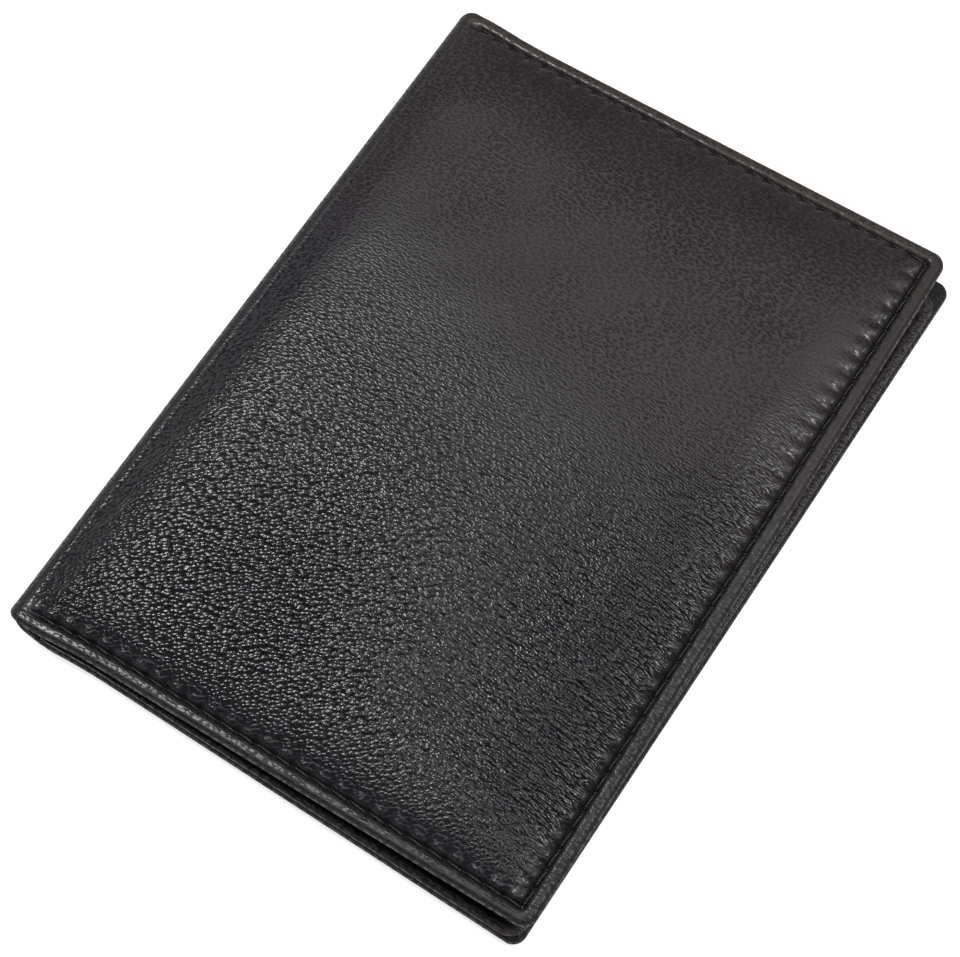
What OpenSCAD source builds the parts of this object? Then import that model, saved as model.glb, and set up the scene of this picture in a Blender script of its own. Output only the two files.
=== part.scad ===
// Badge case: a book-style leather case that opens on a fold along its long side.
// The padded front leaf holds a badge in a shield-shaped recess, and the rear
// leaf holds an identity card behind a clear window. The fold lies along Y, the
// case rests on its rear leaf, and +Z points up out of the front leaf.
// Each leaf is drawn flat in its own frame: z is 0 on the outside of its
// stitched border and grows towards the inside of the case.

/* [Leaves] */
// Width of a leaf, from the fold to the free edge
leaf_width = 79.5; // [74:0.5:95]
// Height of the case, along the fold
case_height = 110; // [98:0.5:130]
// Radius of the free corners
corner_radius = 3.2; // [2.6:0.1:6]
// Angle at which the closed case lies open
closed_angle = 3; // [2.6:0.1:6]
// How far the front leaf's free edge leans, measured across the case
free_edge_lean = 2.6; // [0:0.1:4]
// How far the front leaf's lower free corner sits in from the rear leaf's
free_corner_rise = 1.4; // [0:0.1:3]

/* [Leather and board] */
// Thickness of the outer leather
cover_thickness = 0.8; // [0.6:0.05:1.2]
// Thickness of the stiffening board
board_thickness = 0.5; // [0.3:0.05:1]
// Thickness of the skived leather turned in round the edge
hem_thickness = 0.5; // [0.3:0.05:1]
// Width of the turned-in hem
hem_width = 7; // [5:0.5:9]
// Thickness of the inner leather panels
panel_thickness = 0.8; // [0.7:0.05:1.2]
// Setback of the inner panels from the rolled edge
panel_setback = 0.6; // [0.3:0.1:1.5]
// Distance of the inner panels from the fold
panel_fold_gap = 3; // [2:0.5:6]

/* [Padding] */
// Height that the front padding stands above the border
front_rise = 2; // [1.6:0.1:3]
// Extra height in the middle of the front padding
front_belly = 0.3; // [0:0.05:0.8]
// Height that the rear padding stands above the border
rear_rise = 0.6; // [0.3:0.05:1]
// Distance from the edge to the start of the padding
pad_inset = 3.2; // [3:0.1:5]
// Distance over which the padding rises to its height
pad_roll = 13; // [8:0.5:16]

/* [Stitching] */
// Distance of the seam from the edge
stitch_inset = 2.2; // [1.8:0.1:2.4]
// Length from one stitch to the next
stitch_pitch = 2.9; // [2:0.1:4]
// Thickness of the thread
thread_diameter = 0.44; // [0.3:0.02:0.5]
// Width of the groove that the seam lies in
groove_width = 0.64; // [0.58:0.02:0.8]
// Depth of the groove in the outer leather
groove_depth = 0.46; // [0.3:0.02:0.5]
// Slant of each stitch to the seam
stitch_slant = 3; // [0:0.5:4]

/* [Badge recess] */
// Distance from the fold and the free edge to the recess
recess_side_margin = 14; // [12.5:0.5:18]
// Distance from the ends of the case to the recess
recess_end_margin = 19; // [16:0.5:26]
// Depth of the recess below the inner panel's face
recess_depth = 3; // [2.7:0.1:3.1]
// Rise of the arched top of the recess
recess_arch = 3; // [1:0.5:6]
// Thickness of the leather that the badge is pinned to
backer_thickness = 0.5; // [0.4:0.05:0.6]
// Width of the leather lip turned down into the recess
lip_width = 0.6; // [0.4:0.05:1]
// Distance between the two pin slots
slot_spacing = 32; // [24:1:36]
// Length of a pin slot
slot_length = 8; // [5:0.5:12]
// Width of a pin slot
slot_width = 1.8; // [1:0.1:3]
// Distance of the recess seam from the recess
recess_seam_gap = 2.4; // [2:0.1:3]

/* [Card window] */
// Distance from the fold and the free edge to the window
window_side_margin = 11; // [10:0.5:16]
// Distance from the lower end of the case to the window
window_low_margin = 12; // [11:0.5:18]
// Distance from the pocket's mouth to the window
window_mouth_margin = 11; // [10:0.5:18]
// Radius of the window's corners
window_radius = 2.5; // [1:0.5:6]
// Thickness of the clear film
film_thickness = 0.2; // [0.15:0.05:0.3]
// Width of film that is held behind the frame
film_margin = 2.6; // [2:0.1:3]
// Height of the space that a card slides in
mouth_height = 0.4; // [0.3:0.05:0.5]
// Thickness of the pocket's lining
lining_thickness = 0.2; // [0.15:0.05:0.3]
// Distance from the upper edge of the case to the pocket's mouth
mouth_setback = 3; // [2:0.5:5]
// Radius of the thumb notch at the mouth
notch_radius = 7; // [4:0.5:7.5]

/* [Hidden] */
$fn = 32;

leather_colour = "#1b1a1c";
lining_colour = "#262224";
board_colour = "#5b4a3a";
foam_colour = "#3a3a3d";
thread_colour = "#0f0f10";
film_colour = "#cfd8dc";

// Running clearances and the overrun that every cut shares
fold_gap = 0.15;
fit = 0.05;
piece_gap = 0.3;
hem_overlap = 0.3;
strip_thickness = 0.3;
overrun = 8;

// Levels through a leaf, from the outside of its border to its inner face
board_level = cover_thickness;
hem_level = board_level + board_thickness;
panel_level = hem_level + hem_thickness;
leaf_thickness = panel_level + panel_thickness;

// The fold: the middle of the spine's round is on the line x = 0, z = fold_height
fold_height = rear_rise + leaf_thickness;
spine_radius = leaf_thickness;
spine_thickness = cover_thickness + hem_thickness;

// The rolled edge is a half round over the cover, the board and the hem
roll_height = panel_level;
roll_depth_share = 0.45;
roll_depth = roll_height * roll_depth_share;
roll_steps = 6;

// Rings of the padding, as shares of the distance over which it rises
pad_shares = [0, 0.05, 0.14, 0.28, 0.46, 0.7, 1];
pad_power = 2.3;
pad_corner_share = 0.5;
belly_inset_share = 0.62;
belly_radius_share = 0.2;
foam_edge_share = 0.07;

// Corner points of each leaf. The side at the fold runs past it and is trimmed.
fold_overrun = hem_width + overrun;
rear_corners = [[-fold_overrun, 0], [leaf_width, 0],
                [leaf_width, case_height], [-fold_overrun, case_height]];
front_low_reach = leaf_width + free_edge_lean / 2;
front_high_reach = leaf_width - free_edge_lean / 2;
front_corners = [[-fold_overrun, -fold_overrun * free_corner_rise / front_low_reach],
                 [front_low_reach, free_corner_rise],
                 [front_high_reach, case_height],
                 [-fold_overrun, case_height]];
corner_steps = 5;

// Where the rolled edge of the front leaf reaches once it is tilted
front_corner_reach = max([for (p = leaf_ring(front_corners, 0)) p[0]]);
front_reach = front_corner_reach * cos(closed_angle)
    - (leaf_thickness - roll_height / 2) * sin(closed_angle);
case_reach = max(leaf_width, front_reach);
origin_x = (case_reach - spine_radius) / 2;

// A stitch shows for part of its pitch, goes down a hole at each end and
// keeps clear of the corners that the seam turns
stitch_length_share = 0.8;
stitch_tip_share = 0.5;
stitch_clear_share = 0.9;
corner_turn = 30;

// Inner outlines that more than one piece follows
hem_inset = hem_width + piece_gap;
recess_width = leaf_width - 2 * recess_side_margin;
recess_height = case_height - 2 * recess_end_margin;
recess_floor = leaf_thickness - recess_depth;
recess_clearance = lip_width + fit;
recess_point_share = 0.56;
recess_steps = 10;
mouth_y = case_height - mouth_setback;
film_level = panel_level + mouth_height;

function unit(v) = v / norm(v);

// Direction of the side from point a to point b
function heading(a, b) = unit(b - a);

// An arc at corner b, between the sides a-b and b-c moved in by first and second
function corner_arc(a, b, c, first, second, radius) =
    let (u = heading(a, b), v = heading(b, c), s = cross(u, v),
         centre = b - u * (second + radius) / s + v * (first + radius) / s,
         start = atan2(-u[0], u[1]), turn = asin(s))
    [for (i = [0 : corner_steps])
        let (angle = start + turn * i / corner_steps)
        centre + radius * [cos(angle), sin(angle)]];

// A ring round a leaf: its four sides moved in, with round corners
function ring_of(corners, inset, fold_inset, radius) =
    let (n = len(corners), move = [inset, inset, inset, fold_inset])
    [for (k = [0 : n - 1])
        let (before = corners[(k + n - 1) % n], at = corners[k], after = corners[(k + 1) % n])
        for (p = corner_arc(before, at, after, move[(k + n - 1) % n], move[k], radius)) p];

// A ring of the border, whose side at the fold stays past the trim
function leaf_ring(corners, inset) =
    ring_of(corners, inset, inset, max(corner_radius - inset, corner_radius / corner_steps));

// A ring of the padding, which comes in from the fold as it does from the edges
function pad_radius(inset) = corner_radius / 2 + (inset - pad_inset) * pad_corner_share;
function pad_ring(corners, inset) =
    ring_of(corners, inset, fold_overrun + inset - pad_inset, pad_radius(inset));

// The innermost ring, round the flat middle of the padding
function belly_ring(corners) =
    ring_of(corners, belly_inset_share * leaf_width / 2,
            fold_overrun + belly_inset_share * leaf_width / 2, belly_radius_share * leaf_width / 2);

// Height of the padding at a share of its roll
function pad_height(share, rise) = rise * (1 - pow(1 - share, pad_power));

// Rings of a padded face, from the middle outwards, moved in by a layer's depth
function pad_rings(corners, rise, belly, level, shares) =
    concat(belly > 0 ? [[belly_ring(corners), level - rise - belly]] : [],
           [for (k = [len(shares) - 1 : -1 : 0])
               [pad_ring(corners, pad_inset + pad_roll * shares[k]), level - pad_height(shares[k], rise)]]);

// Rings of the seam's groove, from the padding out to the border
function groove_rings(corners) =
    [[leaf_ring(corners, stitch_inset + groove_width), groove_depth / 4],
     [leaf_ring(corners, stitch_inset + groove_width / 2), groove_depth],
     [leaf_ring(corners, stitch_inset - groove_width / 2), groove_depth],
     [leaf_ring(corners, stitch_inset - groove_width), groove_depth / 8]];

// Rings of the rolled edge, from the outside round to the hem
function roll_rings(corners) =
    [for (i = [0 : roll_steps])
        let (angle = 180 * i / roll_steps)
        [leaf_ring(corners, roll_depth * (1 - sin(angle))), roll_height * (1 - cos(angle)) / 2]];

// A closed solid through rings of [outline, height], capped at both ends
module loft(rings) {
    n = len(rings[0][0]);
    last = (len(rings) - 1) * n;
    points = [for (ring = rings) for (p = ring[0]) [p[0], p[1], ring[1]]];
    sides = [for (k = [0 : len(rings) - 2]) for (j = [0 : n - 1])
        let (a = k * n + j, b = k * n + (j + 1) % n, c = a + n, d = b + n)
        each [[a, c, d], [a, d, b]]];
    caps = [[for (j = [0 : n - 1]) j], [for (j = [n - 1 : -1 : 0]) last + j]];
    polyhedron(points = points, faces = concat(caps, sides), convexity = 10);
}

// Keeps only what lies past the fold, from x = start
module trimmed(start) {
    intersection() {
        children();
        translate([start, -case_height, -case_height])
            cube([2 * leaf_width, 3 * case_height, 2 * case_height]);
    }
}

// A flat layer of a leaf, from one level to the next
module layer(low, high) {
    translate([0, 0, low]) linear_extrude(height = high - low) children();
}

// Outer leather of a leaf: its padded face, seam groove, rolled edge and hem
module cover(corners, rise, belly) {
    hem_rings = [[leaf_ring(corners, hem_width), panel_level],
                 [leaf_ring(corners, hem_width), hem_level]];
    inner_rings = [[leaf_ring(corners, roll_depth), hem_level],
                   [leaf_ring(corners, roll_depth), board_level]];
    inner_pad = pad_rings(corners, rise, belly, board_level, pad_shares);
    trimmed(fold_gap)
        loft(concat(pad_rings(corners, rise, belly, 0, pad_shares),
                    groove_rings(corners), roll_rings(corners), hem_rings, inner_rings,
                    [for (k = [len(inner_pad) - 1 : -1 : 0]) inner_pad[k]]));
}

// Foam between the outer leather and the board
module pad(corners, rise, belly) {
    shares = [for (s = pad_shares) if (s > foam_edge_share) s];
    rings = pad_rings(corners, rise, belly, board_level + fit, shares);
    edge = pad_ring(corners, pad_inset + pad_roll * shares[0]);
    loft(concat(rings, [[edge, board_level]]));
}

// Stiffening board, wrapped by the hem
module board(corners) {
    trimmed(piece_gap)
        layer(board_level, hem_level) polygon(leaf_ring(corners, roll_depth + fit));
}

// A thin ply that lies inside the hem
module inner_ply(corners, low, high) {
    trimmed(piece_gap) layer(low, high) polygon(leaf_ring(corners, hem_inset));
}

// Points of the shield-shaped recess about its own middle, grown outwards
function shield(grow) =
    let (half = recess_width / 2, point = recess_height * recess_point_share,
         bend = (pow(point, 2) + pow(half, 2)) / (2 * half),
         arch = (pow(half, 2) + pow(recess_arch, 2)) / (2 * recess_arch),
         shoulder = recess_height / 2, waist = point - recess_height / 2,
         side = half + grow, round = bend + grow, crown = arch + grow,
         sweep = acos((bend - half) / round), spread = asin(side / crown),
         crown_centre = shoulder - arch)
    concat([for (i = [0 : recess_steps])
               let (angle = -sweep * i / recess_steps)
               [half - bend + round * cos(angle), waist + round * sin(angle)]],
           [for (i = [recess_steps - 1 : -1 : 0])
               let (angle = -sweep * i / recess_steps)
               [bend - half - round * cos(angle), waist + round * sin(angle)]],
           [for (i = [0 : recess_steps])
               let (angle = 90 + spread - 2 * spread * i / recess_steps)
               [crown * cos(angle), crown_centre + crown * sin(angle)]]);

// The shield's outline where it lies on the leaf
module recess_outline(grow) {
    translate([leaf_width / 2, case_height / 2]) polygon(shield(grow));
}

// The same outline, cut through everything
module recess_cut(grow) {
    translate([0, 0, -case_height]) linear_extrude(height = 2 * case_height) recess_outline(grow);
}

// Length along a path up to each of its points
function run_lengths(path, k = 0, total = 0) =
    k == len(path) - 1 ? [total]
    : concat([total], run_lengths(path, k + 1, total + norm(path[k + 1] - path[k])));

// The stretch of a path that a run along it falls in, its direction there and
// the point that the run comes to
function stretch_at(runs, run) = max([for (j = [0 : len(runs) - 2]) if (j == 0 || runs[j] <= run) j]);
function heading_at(path, runs, run) =
    let (k = stretch_at(runs, run)) heading(path[k], path[k + 1]);
function point_at(path, runs, run) =
    path[stretch_at(runs, run)] + heading_at(path, runs, run) * (run - runs[stretch_at(runs, run)]);

// Thread along a path: one solid for each stitch, lying at one level. The
// seam turns a corner without a stitch across it.
module seam(path, level) {
    runs = run_lengths(path);
    total = runs[len(runs) - 1];
    count = round(total / stitch_pitch);
    pitch = total / count;
    reach = pitch * stitch_clear_share;
    half = pitch * stitch_length_share / 2;
    for (i = [0 : count - 1]) {
        middle = i * pitch + pitch / 2;
        turn = heading_at(path, runs, middle - reach) * heading_at(path, runs, middle + reach);
        from = point_at(path, runs, middle - half);
        upto = point_at(path, runs, middle + half);
        at = (from + upto) / 2;
        along = heading(from, upto);
        if (turn > cos(corner_turn))
            translate([at[0], at[1], level])
                rotate([0, 0, atan2(along[1], along[0]) + stitch_slant]) stitch(half);
    }
}

// One stitch: a short length of thread with tapered ends
module stitch(half) {
    taper = thread_diameter / 2;
    tip = taper * stitch_tip_share;
    rotate([0, 90, 0]) rotate_extrude()
        polygon([[0, -half], [tip, -half], [taper, taper - half],
                 [taper, half - taper], [tip, half], [0, half]]);
}

// Path of the edge seam: along one end, up the free edge and back to the fold
function edge_path(corners, high_inset = stitch_inset) =
    let (n = len(corners),
         move = [stitch_inset, stitch_inset, high_inset, fold_overrun + panel_fold_gap])
    [for (k = [0 : n - 1])
        let (u = heading(corners[(k + n - 1) % n], corners[k]),
             v = heading(corners[k], corners[(k + 1) % n]), s = cross(u, v))
        corners[k] - u * move[k] / s + v * move[(k + n - 1) % n] / s];

// The stretches of that path that a list of point numbers names
function part_of(path, picks) = [for (k = picks) path[k]];

// Groove round the inside of a panel, under the edge seam
module edge_groove(corners) {
    layer(leaf_thickness - groove_depth, leaf_thickness + overrun)
        difference() {
            polygon(leaf_ring(corners, stitch_inset - groove_width / 2));
            polygon(leaf_ring(corners, stitch_inset + groove_width / 2));
        }
}

// Levels of the thread in the grooves outside and inside, and on the bare hem
outer_thread_level = groove_depth - thread_diameter / 2 - fit / 2;
inner_thread_level = leaf_thickness - outer_thread_level;
hem_thread_level = panel_level + thread_diameter / 2 + fit / 2;

// Rectangle with round corners, from its low corner to its high corner
module round_box(low, high, radius) {
    polygon(ring_of([low, [high[0], low[1]], high, [low[0], high[1]]], 0, 0, radius));
}

// Low and high corners of the card window, moved out by grow
function window_low(grow) = [window_side_margin - grow, window_low_margin - grow];
function window_high(grow) =
    [leaf_width - window_side_margin + grow, mouth_y - window_mouth_margin + grow];

// Puts the rear leaf on the surface that the case rests on
module in_rear_leaf() {
    translate([-origin_x, -case_height / 2, rear_rise]) children();
}

// Puts the spine round the middle line of the fold
module in_spine() {
    translate([-origin_x, -case_height / 2, fold_height]) children();
}

// Turns the front leaf over onto the rear one, standing open by the closed angle
module in_front_leaf() {
    in_spine() rotate([0, -closed_angle, 0]) mirror([0, 0, 1])
        translate([0, 0, -leaf_thickness]) children();
}

// Lining that runs from the fold to the inner panel, over the plies' edges
module fold_strip(corners) {
    intersection() {
        trimmed(piece_gap)
            layer(panel_level, panel_level + strip_thickness)
                polygon(leaf_ring(corners, panel_setback));
        layer(panel_level, leaf_thickness)
            translate([0, -case_height]) square([panel_fold_gap - fit, 3 * case_height]);
    }
}

// Rear leaf
module rear_cover() {
    color(leather_colour) in_rear_leaf() cover(rear_corners, rear_rise, 0);
}

module rear_pad() {
    color(foam_colour) in_rear_leaf() pad(rear_corners, rear_rise, 0);
}

module rear_board() {
    color(board_colour) in_rear_leaf() board(rear_corners);
}

module pocket_lining() {
    color(lining_colour) in_rear_leaf()
        inner_ply(rear_corners, hem_level, hem_level + lining_thickness);
}

module window_film() {
    color(film_colour) in_rear_leaf()
        layer(film_level - film_thickness, film_level)
            round_box(window_low(film_margin - fit), window_high(film_margin - fit), window_radius);
}

module window_frame() {
    frame_low = [panel_fold_gap, panel_setback];
    frame_high = [leaf_width - panel_setback, mouth_y];
    color(leather_colour) in_rear_leaf()
        difference() {
            layer(panel_level, leaf_thickness)
                round_box(frame_low, frame_high, corner_radius - panel_setback);
            layer(panel_level - overrun, leaf_thickness + overrun)
                round_box(window_low(0), window_high(0), window_radius);
            layer(panel_level - overrun, film_level)
                round_box(window_low(film_margin), window_high(overrun + mouth_setback), window_radius);
            translate([leaf_width / 2, mouth_y, panel_level - overrun])
                cylinder(r = notch_radius, h = 2 * overrun);
            edge_groove(rear_corners);
            window_groove();
        }
}

// Distance of the window's seam from the window, and the line that it follows
window_seam_gap = stitch_inset;
function window_path() =
    let (low = window_low(window_seam_gap), high = window_high(window_seam_gap),
         start = [(low[0] + high[0]) / 2, low[1]])
    [start, [high[0], low[1]], high, [low[0], high[1]], low, start];

module window_groove() {
    layer(leaf_thickness - thread_diameter / 2, leaf_thickness + overrun)
        difference() {
            round_box(window_low(window_seam_gap + groove_width / 2),
                      window_high(window_seam_gap + groove_width / 2), groove_width);
            round_box(window_low(window_seam_gap - groove_width / 2),
                      window_high(window_seam_gap - groove_width / 2), fit);
        }
}

// The seam catches the window frame up to the pocket's mouth, and then the hem
module rear_edge_stitching() {
    hem_row = edge_path(rear_corners);
    color(thread_colour) in_rear_leaf() {
        seam(edge_path(rear_corners), outer_thread_level);
        seam(part_of(edge_path(rear_corners, mouth_setback + hem_overlap), [0, 1, 2]),
             inner_thread_level);
        seam([hem_row[2] - [corner_radius, 0], hem_row[3]], hem_thread_level);
    }
}

module window_stitching() {
    color(thread_colour) in_rear_leaf() seam(window_path(), leaf_thickness + fit / 2);
}

module rear_fold_lining() {
    color(lining_colour) in_rear_leaf() fold_strip(rear_corners);
}

// Spine
module spine_profile(low, high, thickness) {
    translate([spine_radius - thickness, low]) square([thickness, high - low]);
}

module spine_cover() {
    edge = spine_thickness / 2;
    color(leather_colour) in_spine()
        rotate([-90, 0, 0]) rotate([0, 0, 90])
            rotate_extrude(angle = 180 - closed_angle) {
                spine_profile(edge, case_height - edge, cover_thickness);
                for (low = [edge, case_height - hem_width])
                    spine_profile(low, low + hem_width - edge, spine_thickness);
                for (y = [edge, case_height - edge])
                    translate([spine_radius - edge, y]) circle(r = edge);
            }
}

module spine_lining() {
    color(lining_colour) in_spine()
        rotate([-90, 0, 0]) rotate([0, 0, 90])
            rotate_extrude(angle = 180 - closed_angle)
                translate([spine_radius - spine_thickness, hem_inset])
                    square([hem_thickness - fit, case_height - 2 * hem_inset]);
}

// Front leaf
module front_cover() {
    color(leather_colour) in_front_leaf() cover(front_corners, front_rise, front_belly);
}

module front_fold_lining() {
    color(lining_colour) in_front_leaf() fold_strip(front_corners);
}

module front_pad() {
    color(foam_colour) in_front_leaf()
        difference() {
            pad(front_corners, front_rise, front_belly);
            recess_cut(recess_clearance);
        }
}

module front_board() {
    color(board_colour) in_front_leaf()
        difference() {
            board(front_corners);
            recess_cut(recess_clearance);
        }
}

module badge_spacer() {
    color(foam_colour) in_front_leaf()
        difference() {
            inner_ply(front_corners, hem_level, panel_level);
            recess_cut(recess_clearance);
        }
}

module badge_backer() {
    color(lining_colour) in_front_leaf()
        layer(recess_floor - backer_thickness, recess_floor)
            difference() {
                recess_outline(lip_width);
                for (side = [-1, 1])
                    translate([leaf_width / 2 + side * slot_spacing / 2, case_height / 2])
                        square([slot_width, slot_length], center = true);
            }
}

module badge_panel() {
    color(leather_colour) in_front_leaf()
        difference() {
            union() {
                trimmed(panel_fold_gap)
                    layer(panel_level, leaf_thickness)
                        polygon(leaf_ring(front_corners, panel_setback));
                layer(board_level, panel_level) recess_outline(lip_width);
            }
            recess_cut(0);
            edge_groove(front_corners);
            recess_groove();
        }
}

// Line that the recess's seam follows
function recess_path() =
    let (at = [leaf_width / 2, case_height / 2], line = shield(recess_seam_gap))
    [for (k = [0 : len(line)]) at + line[k % len(line)]];

module recess_groove() {
    layer(leaf_thickness - thread_diameter / 2, leaf_thickness + overrun)
        difference() {
            recess_outline(recess_seam_gap + groove_width / 2);
            recess_outline(recess_seam_gap - groove_width / 2);
        }
}

module front_edge_stitching() {
    color(thread_colour) in_front_leaf() {
        seam(edge_path(front_corners), outer_thread_level);
        seam(edge_path(front_corners), inner_thread_level);
    }
}

module recess_stitching() {
    color(thread_colour) in_front_leaf() seam(recess_path(), leaf_thickness + fit / 2);
}

rear_cover();
rear_pad();
rear_board();
pocket_lining();
window_film();
window_frame();
rear_fold_lining();
rear_edge_stitching();
window_stitching();
spine_cover();
spine_lining();
front_cover();
front_pad();
front_board();
badge_spacer();
badge_backer();
badge_panel();
front_fold_lining();
front_edge_stitching();
recess_stitching();
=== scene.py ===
"""Badge case: a padded book-style leather case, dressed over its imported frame.

Lengths are millimetres in a leaf's own flat frame, where x runs from the fold,
y along the fold and z inwards from the outside of the stitched border, unless a
name says otherwise. Leaf.place turns them into the frame's metres.
"""

import logging
import math
from dataclasses import dataclass, field
from enum import Enum
from typing import Callable, Sequence

import bmesh
import bpy
import numpy as np
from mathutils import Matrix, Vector


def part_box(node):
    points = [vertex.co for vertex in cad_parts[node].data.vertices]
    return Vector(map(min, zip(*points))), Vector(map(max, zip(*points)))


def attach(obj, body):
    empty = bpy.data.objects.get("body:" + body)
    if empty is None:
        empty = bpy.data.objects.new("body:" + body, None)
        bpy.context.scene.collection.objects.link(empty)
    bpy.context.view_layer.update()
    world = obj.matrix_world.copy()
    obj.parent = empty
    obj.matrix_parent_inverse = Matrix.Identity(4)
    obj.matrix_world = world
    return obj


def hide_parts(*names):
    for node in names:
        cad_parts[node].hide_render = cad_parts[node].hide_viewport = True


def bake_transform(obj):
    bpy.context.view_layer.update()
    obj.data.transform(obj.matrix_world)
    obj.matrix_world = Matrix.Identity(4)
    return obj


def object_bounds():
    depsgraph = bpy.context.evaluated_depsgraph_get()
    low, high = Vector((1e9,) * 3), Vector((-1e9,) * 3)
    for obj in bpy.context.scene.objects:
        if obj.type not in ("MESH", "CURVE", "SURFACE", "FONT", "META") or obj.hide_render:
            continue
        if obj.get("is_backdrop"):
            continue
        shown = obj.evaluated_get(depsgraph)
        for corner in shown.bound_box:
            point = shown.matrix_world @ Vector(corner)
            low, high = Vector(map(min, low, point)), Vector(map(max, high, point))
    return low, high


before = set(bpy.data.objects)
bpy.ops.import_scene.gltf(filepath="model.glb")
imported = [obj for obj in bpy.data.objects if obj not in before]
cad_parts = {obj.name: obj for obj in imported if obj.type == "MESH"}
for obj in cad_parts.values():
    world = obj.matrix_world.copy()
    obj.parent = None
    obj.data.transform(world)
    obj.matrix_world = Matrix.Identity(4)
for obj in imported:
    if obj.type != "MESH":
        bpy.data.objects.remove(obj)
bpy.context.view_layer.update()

MM = 0.001
PITCH = 2.9
HOLE_LENGTH = 0.42
LEAF_MIDDLE = 39.75
LEAST_TURN = 0.08
FLAT_MAP = "Unrolled"
GRAIN_FIELDS = ("coarse", "wrinkle", "worn", "depth", "shade")

Array = np.ndarray
Point = Sequence[float]
Faces = list[Sequence[int]]
Depth = Callable[[Array, Array], Array]
EdgeLine = Callable[[float], Array]
Piece = bpy.types.Object
Material = bpy.types.Material
Socket = bpy.types.NodeSocket
log = logging.getLogger("badge_case")


class Side(Enum):
    """Which leaf a piece belongs to; the value is the body that it rides on."""

    REAR = "rear_leaf"
    FRONT = "front_leaf"


class Tone(Enum):
    """Colours of the finishes, linear."""

    LEATHER = (0.0126, 0.0102, 0.0150)
    WORN = (0.0385, 0.0285, 0.0242)
    SHADED = (0.0030, 0.0028, 0.0030)
    INNER = (0.046, 0.0380, 0.0358)
    THREAD = (0.0085, 0.0080, 0.0085)
    # Painted shade in the valleys between a thread's plies
    THREAD_VALLEY_SHADE = (0.003, 0.003, 0.003)
    FOAM = (0.055, 0.055, 0.060)
    LINING = (0.016, 0.015, 0.016)
    BOARD = (0.150, 0.105, 0.070)
    FILM = (0.050, 0.054, 0.058)
    FLOOR = (0.52, 0.52, 0.52)
    FLOOR_PALE = (0.54, 0.54, 0.54)
    FLOOR_GLOW = (0.80, 0.80, 0.80)
    BLACK = (0.0, 0.0, 0.0)

    def solid(self, share: float = 1.0) -> tuple[float, ...]:
        """The colour, darkened to a share of itself, with a full alpha."""
        return (*(value * share for value in self.value), 1)


# Falloffs, lines and faces


def fade_in(distance: Array, run: float) -> Array:
    """Zero up to a line and one from a run past it, straight in between."""
    return np.clip(distance / run, 0, 1)


def bell(distance: Array, width: float) -> Array:
    """One on a line, falling off smoothly on both sides of it."""
    return np.exp(-((distance / width) ** 2))


def level(depth: float) -> Depth:
    """A face that lies at one depth all over."""
    return lambda x, y: np.full_like(x, depth)


def to_hole(along: Array, length: float) -> Array:
    """Distance to the nearest needle hole of a seam that starts and ends in one."""
    step = length / round(length / PITCH)
    return np.abs((along + step / 2) % step - step / 2)


def straight(start: Point, end: Point, count: int) -> Array:
    """A given number of points from start up to, but not at, end."""
    share = np.linspace(0, 1, count + 1)[:-1, None]
    return np.asarray(start) * (1 - share) + np.asarray(end) * share


def arc(centre: Point, radius: float, start: float, end: float, count: int) -> Array:
    """Points on an arc, in degrees, without its last one."""
    angle = np.radians(np.linspace(start, end, count + 1)[:-1])
    return np.stack([centre[0] + radius * np.cos(angle), centre[1] + radius * np.sin(angle)], -1)


def box_line(low: Point, high: Point, radius: float, grow: float, counts: Sequence[int]) -> Array:
    """A rectangle with round corners.

    Args:
        low: Lowest corner.
        high: Highest corner.
        radius: Radius of its corners.
        grow: Distance that the line is moved outwards.
        counts: Samples on the first and second side and on a corner.

    Returns:
        Points of the closed line, anticlockwise.
    """
    turn = max(radius + grow, LEAST_TURN)
    x0, y0, x1, y1 = low[0] - grow, low[1] - grow, high[0] + grow, high[1] + grow
    left, right, base, top = x0 + turn, x1 - turn, y0 + turn, y1 - turn
    centres = [(right, base), (right, top), (left, top), (left, base)]
    lines = []
    for k, centre in enumerate(centres):
        end = 90 * k
        angle = math.radians(end - 90)
        out = np.array([math.cos(angle), math.sin(angle)]) * turn
        start, stop = np.array(centres[k - 1]) + out, np.array(centre) + out
        lines.append(straight(start, stop, counts[k % 2]))
        lines.append(arc(centre, turn, end - 90, end, counts[2]))
    return np.concatenate(lines)


def run_along(points: Array) -> tuple[Array, float]:
    """Length along a closed line to each point, and its whole length."""
    steps = np.linalg.norm(np.roll(points, -1, 0) - points, axis=1)
    return np.concatenate([[0], np.cumsum(steps)[:-1]]), float(steps.sum())


def ring_faces(first: Sequence[int], second: Sequence[int]) -> Faces:
    """Faces of the band between two closed rings of as many points."""
    pairs = list(zip(first, second))
    return [(a, b, d, c) for (a, b), (c, d) in zip(pairs, pairs[1:] + pairs[:1])]


def grid_faces(rows: int, columns: int, base: int = 0) -> Faces:
    """Faces of a sheet of points that are numbered row by row from base."""
    corners = [base + i * columns + j for i in range(rows - 1) for j in range(columns - 1)]
    return [(a, a + columns, a + columns + 1, a + 1) for a in corners]


# Leaves


@dataclass(frozen=True)
class Fold:
    """The fold that both leaves turn on."""

    radius: float = 2.6
    closed: float = math.radians(3.0)

    @property
    def x(self) -> float:
        """Place of the fold's axis across the case."""
        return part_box("spine_cover")[0][0] / MM + self.radius

    @property
    def z(self) -> float:
        """Height of the fold's axis."""
        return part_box("window_frame")[1][2] / MM

    @property
    def half_arc(self) -> float:
        """Length of leather from a leaf to the middle of the spine."""
        return (math.pi - self.closed) / 2 * self.radius


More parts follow.
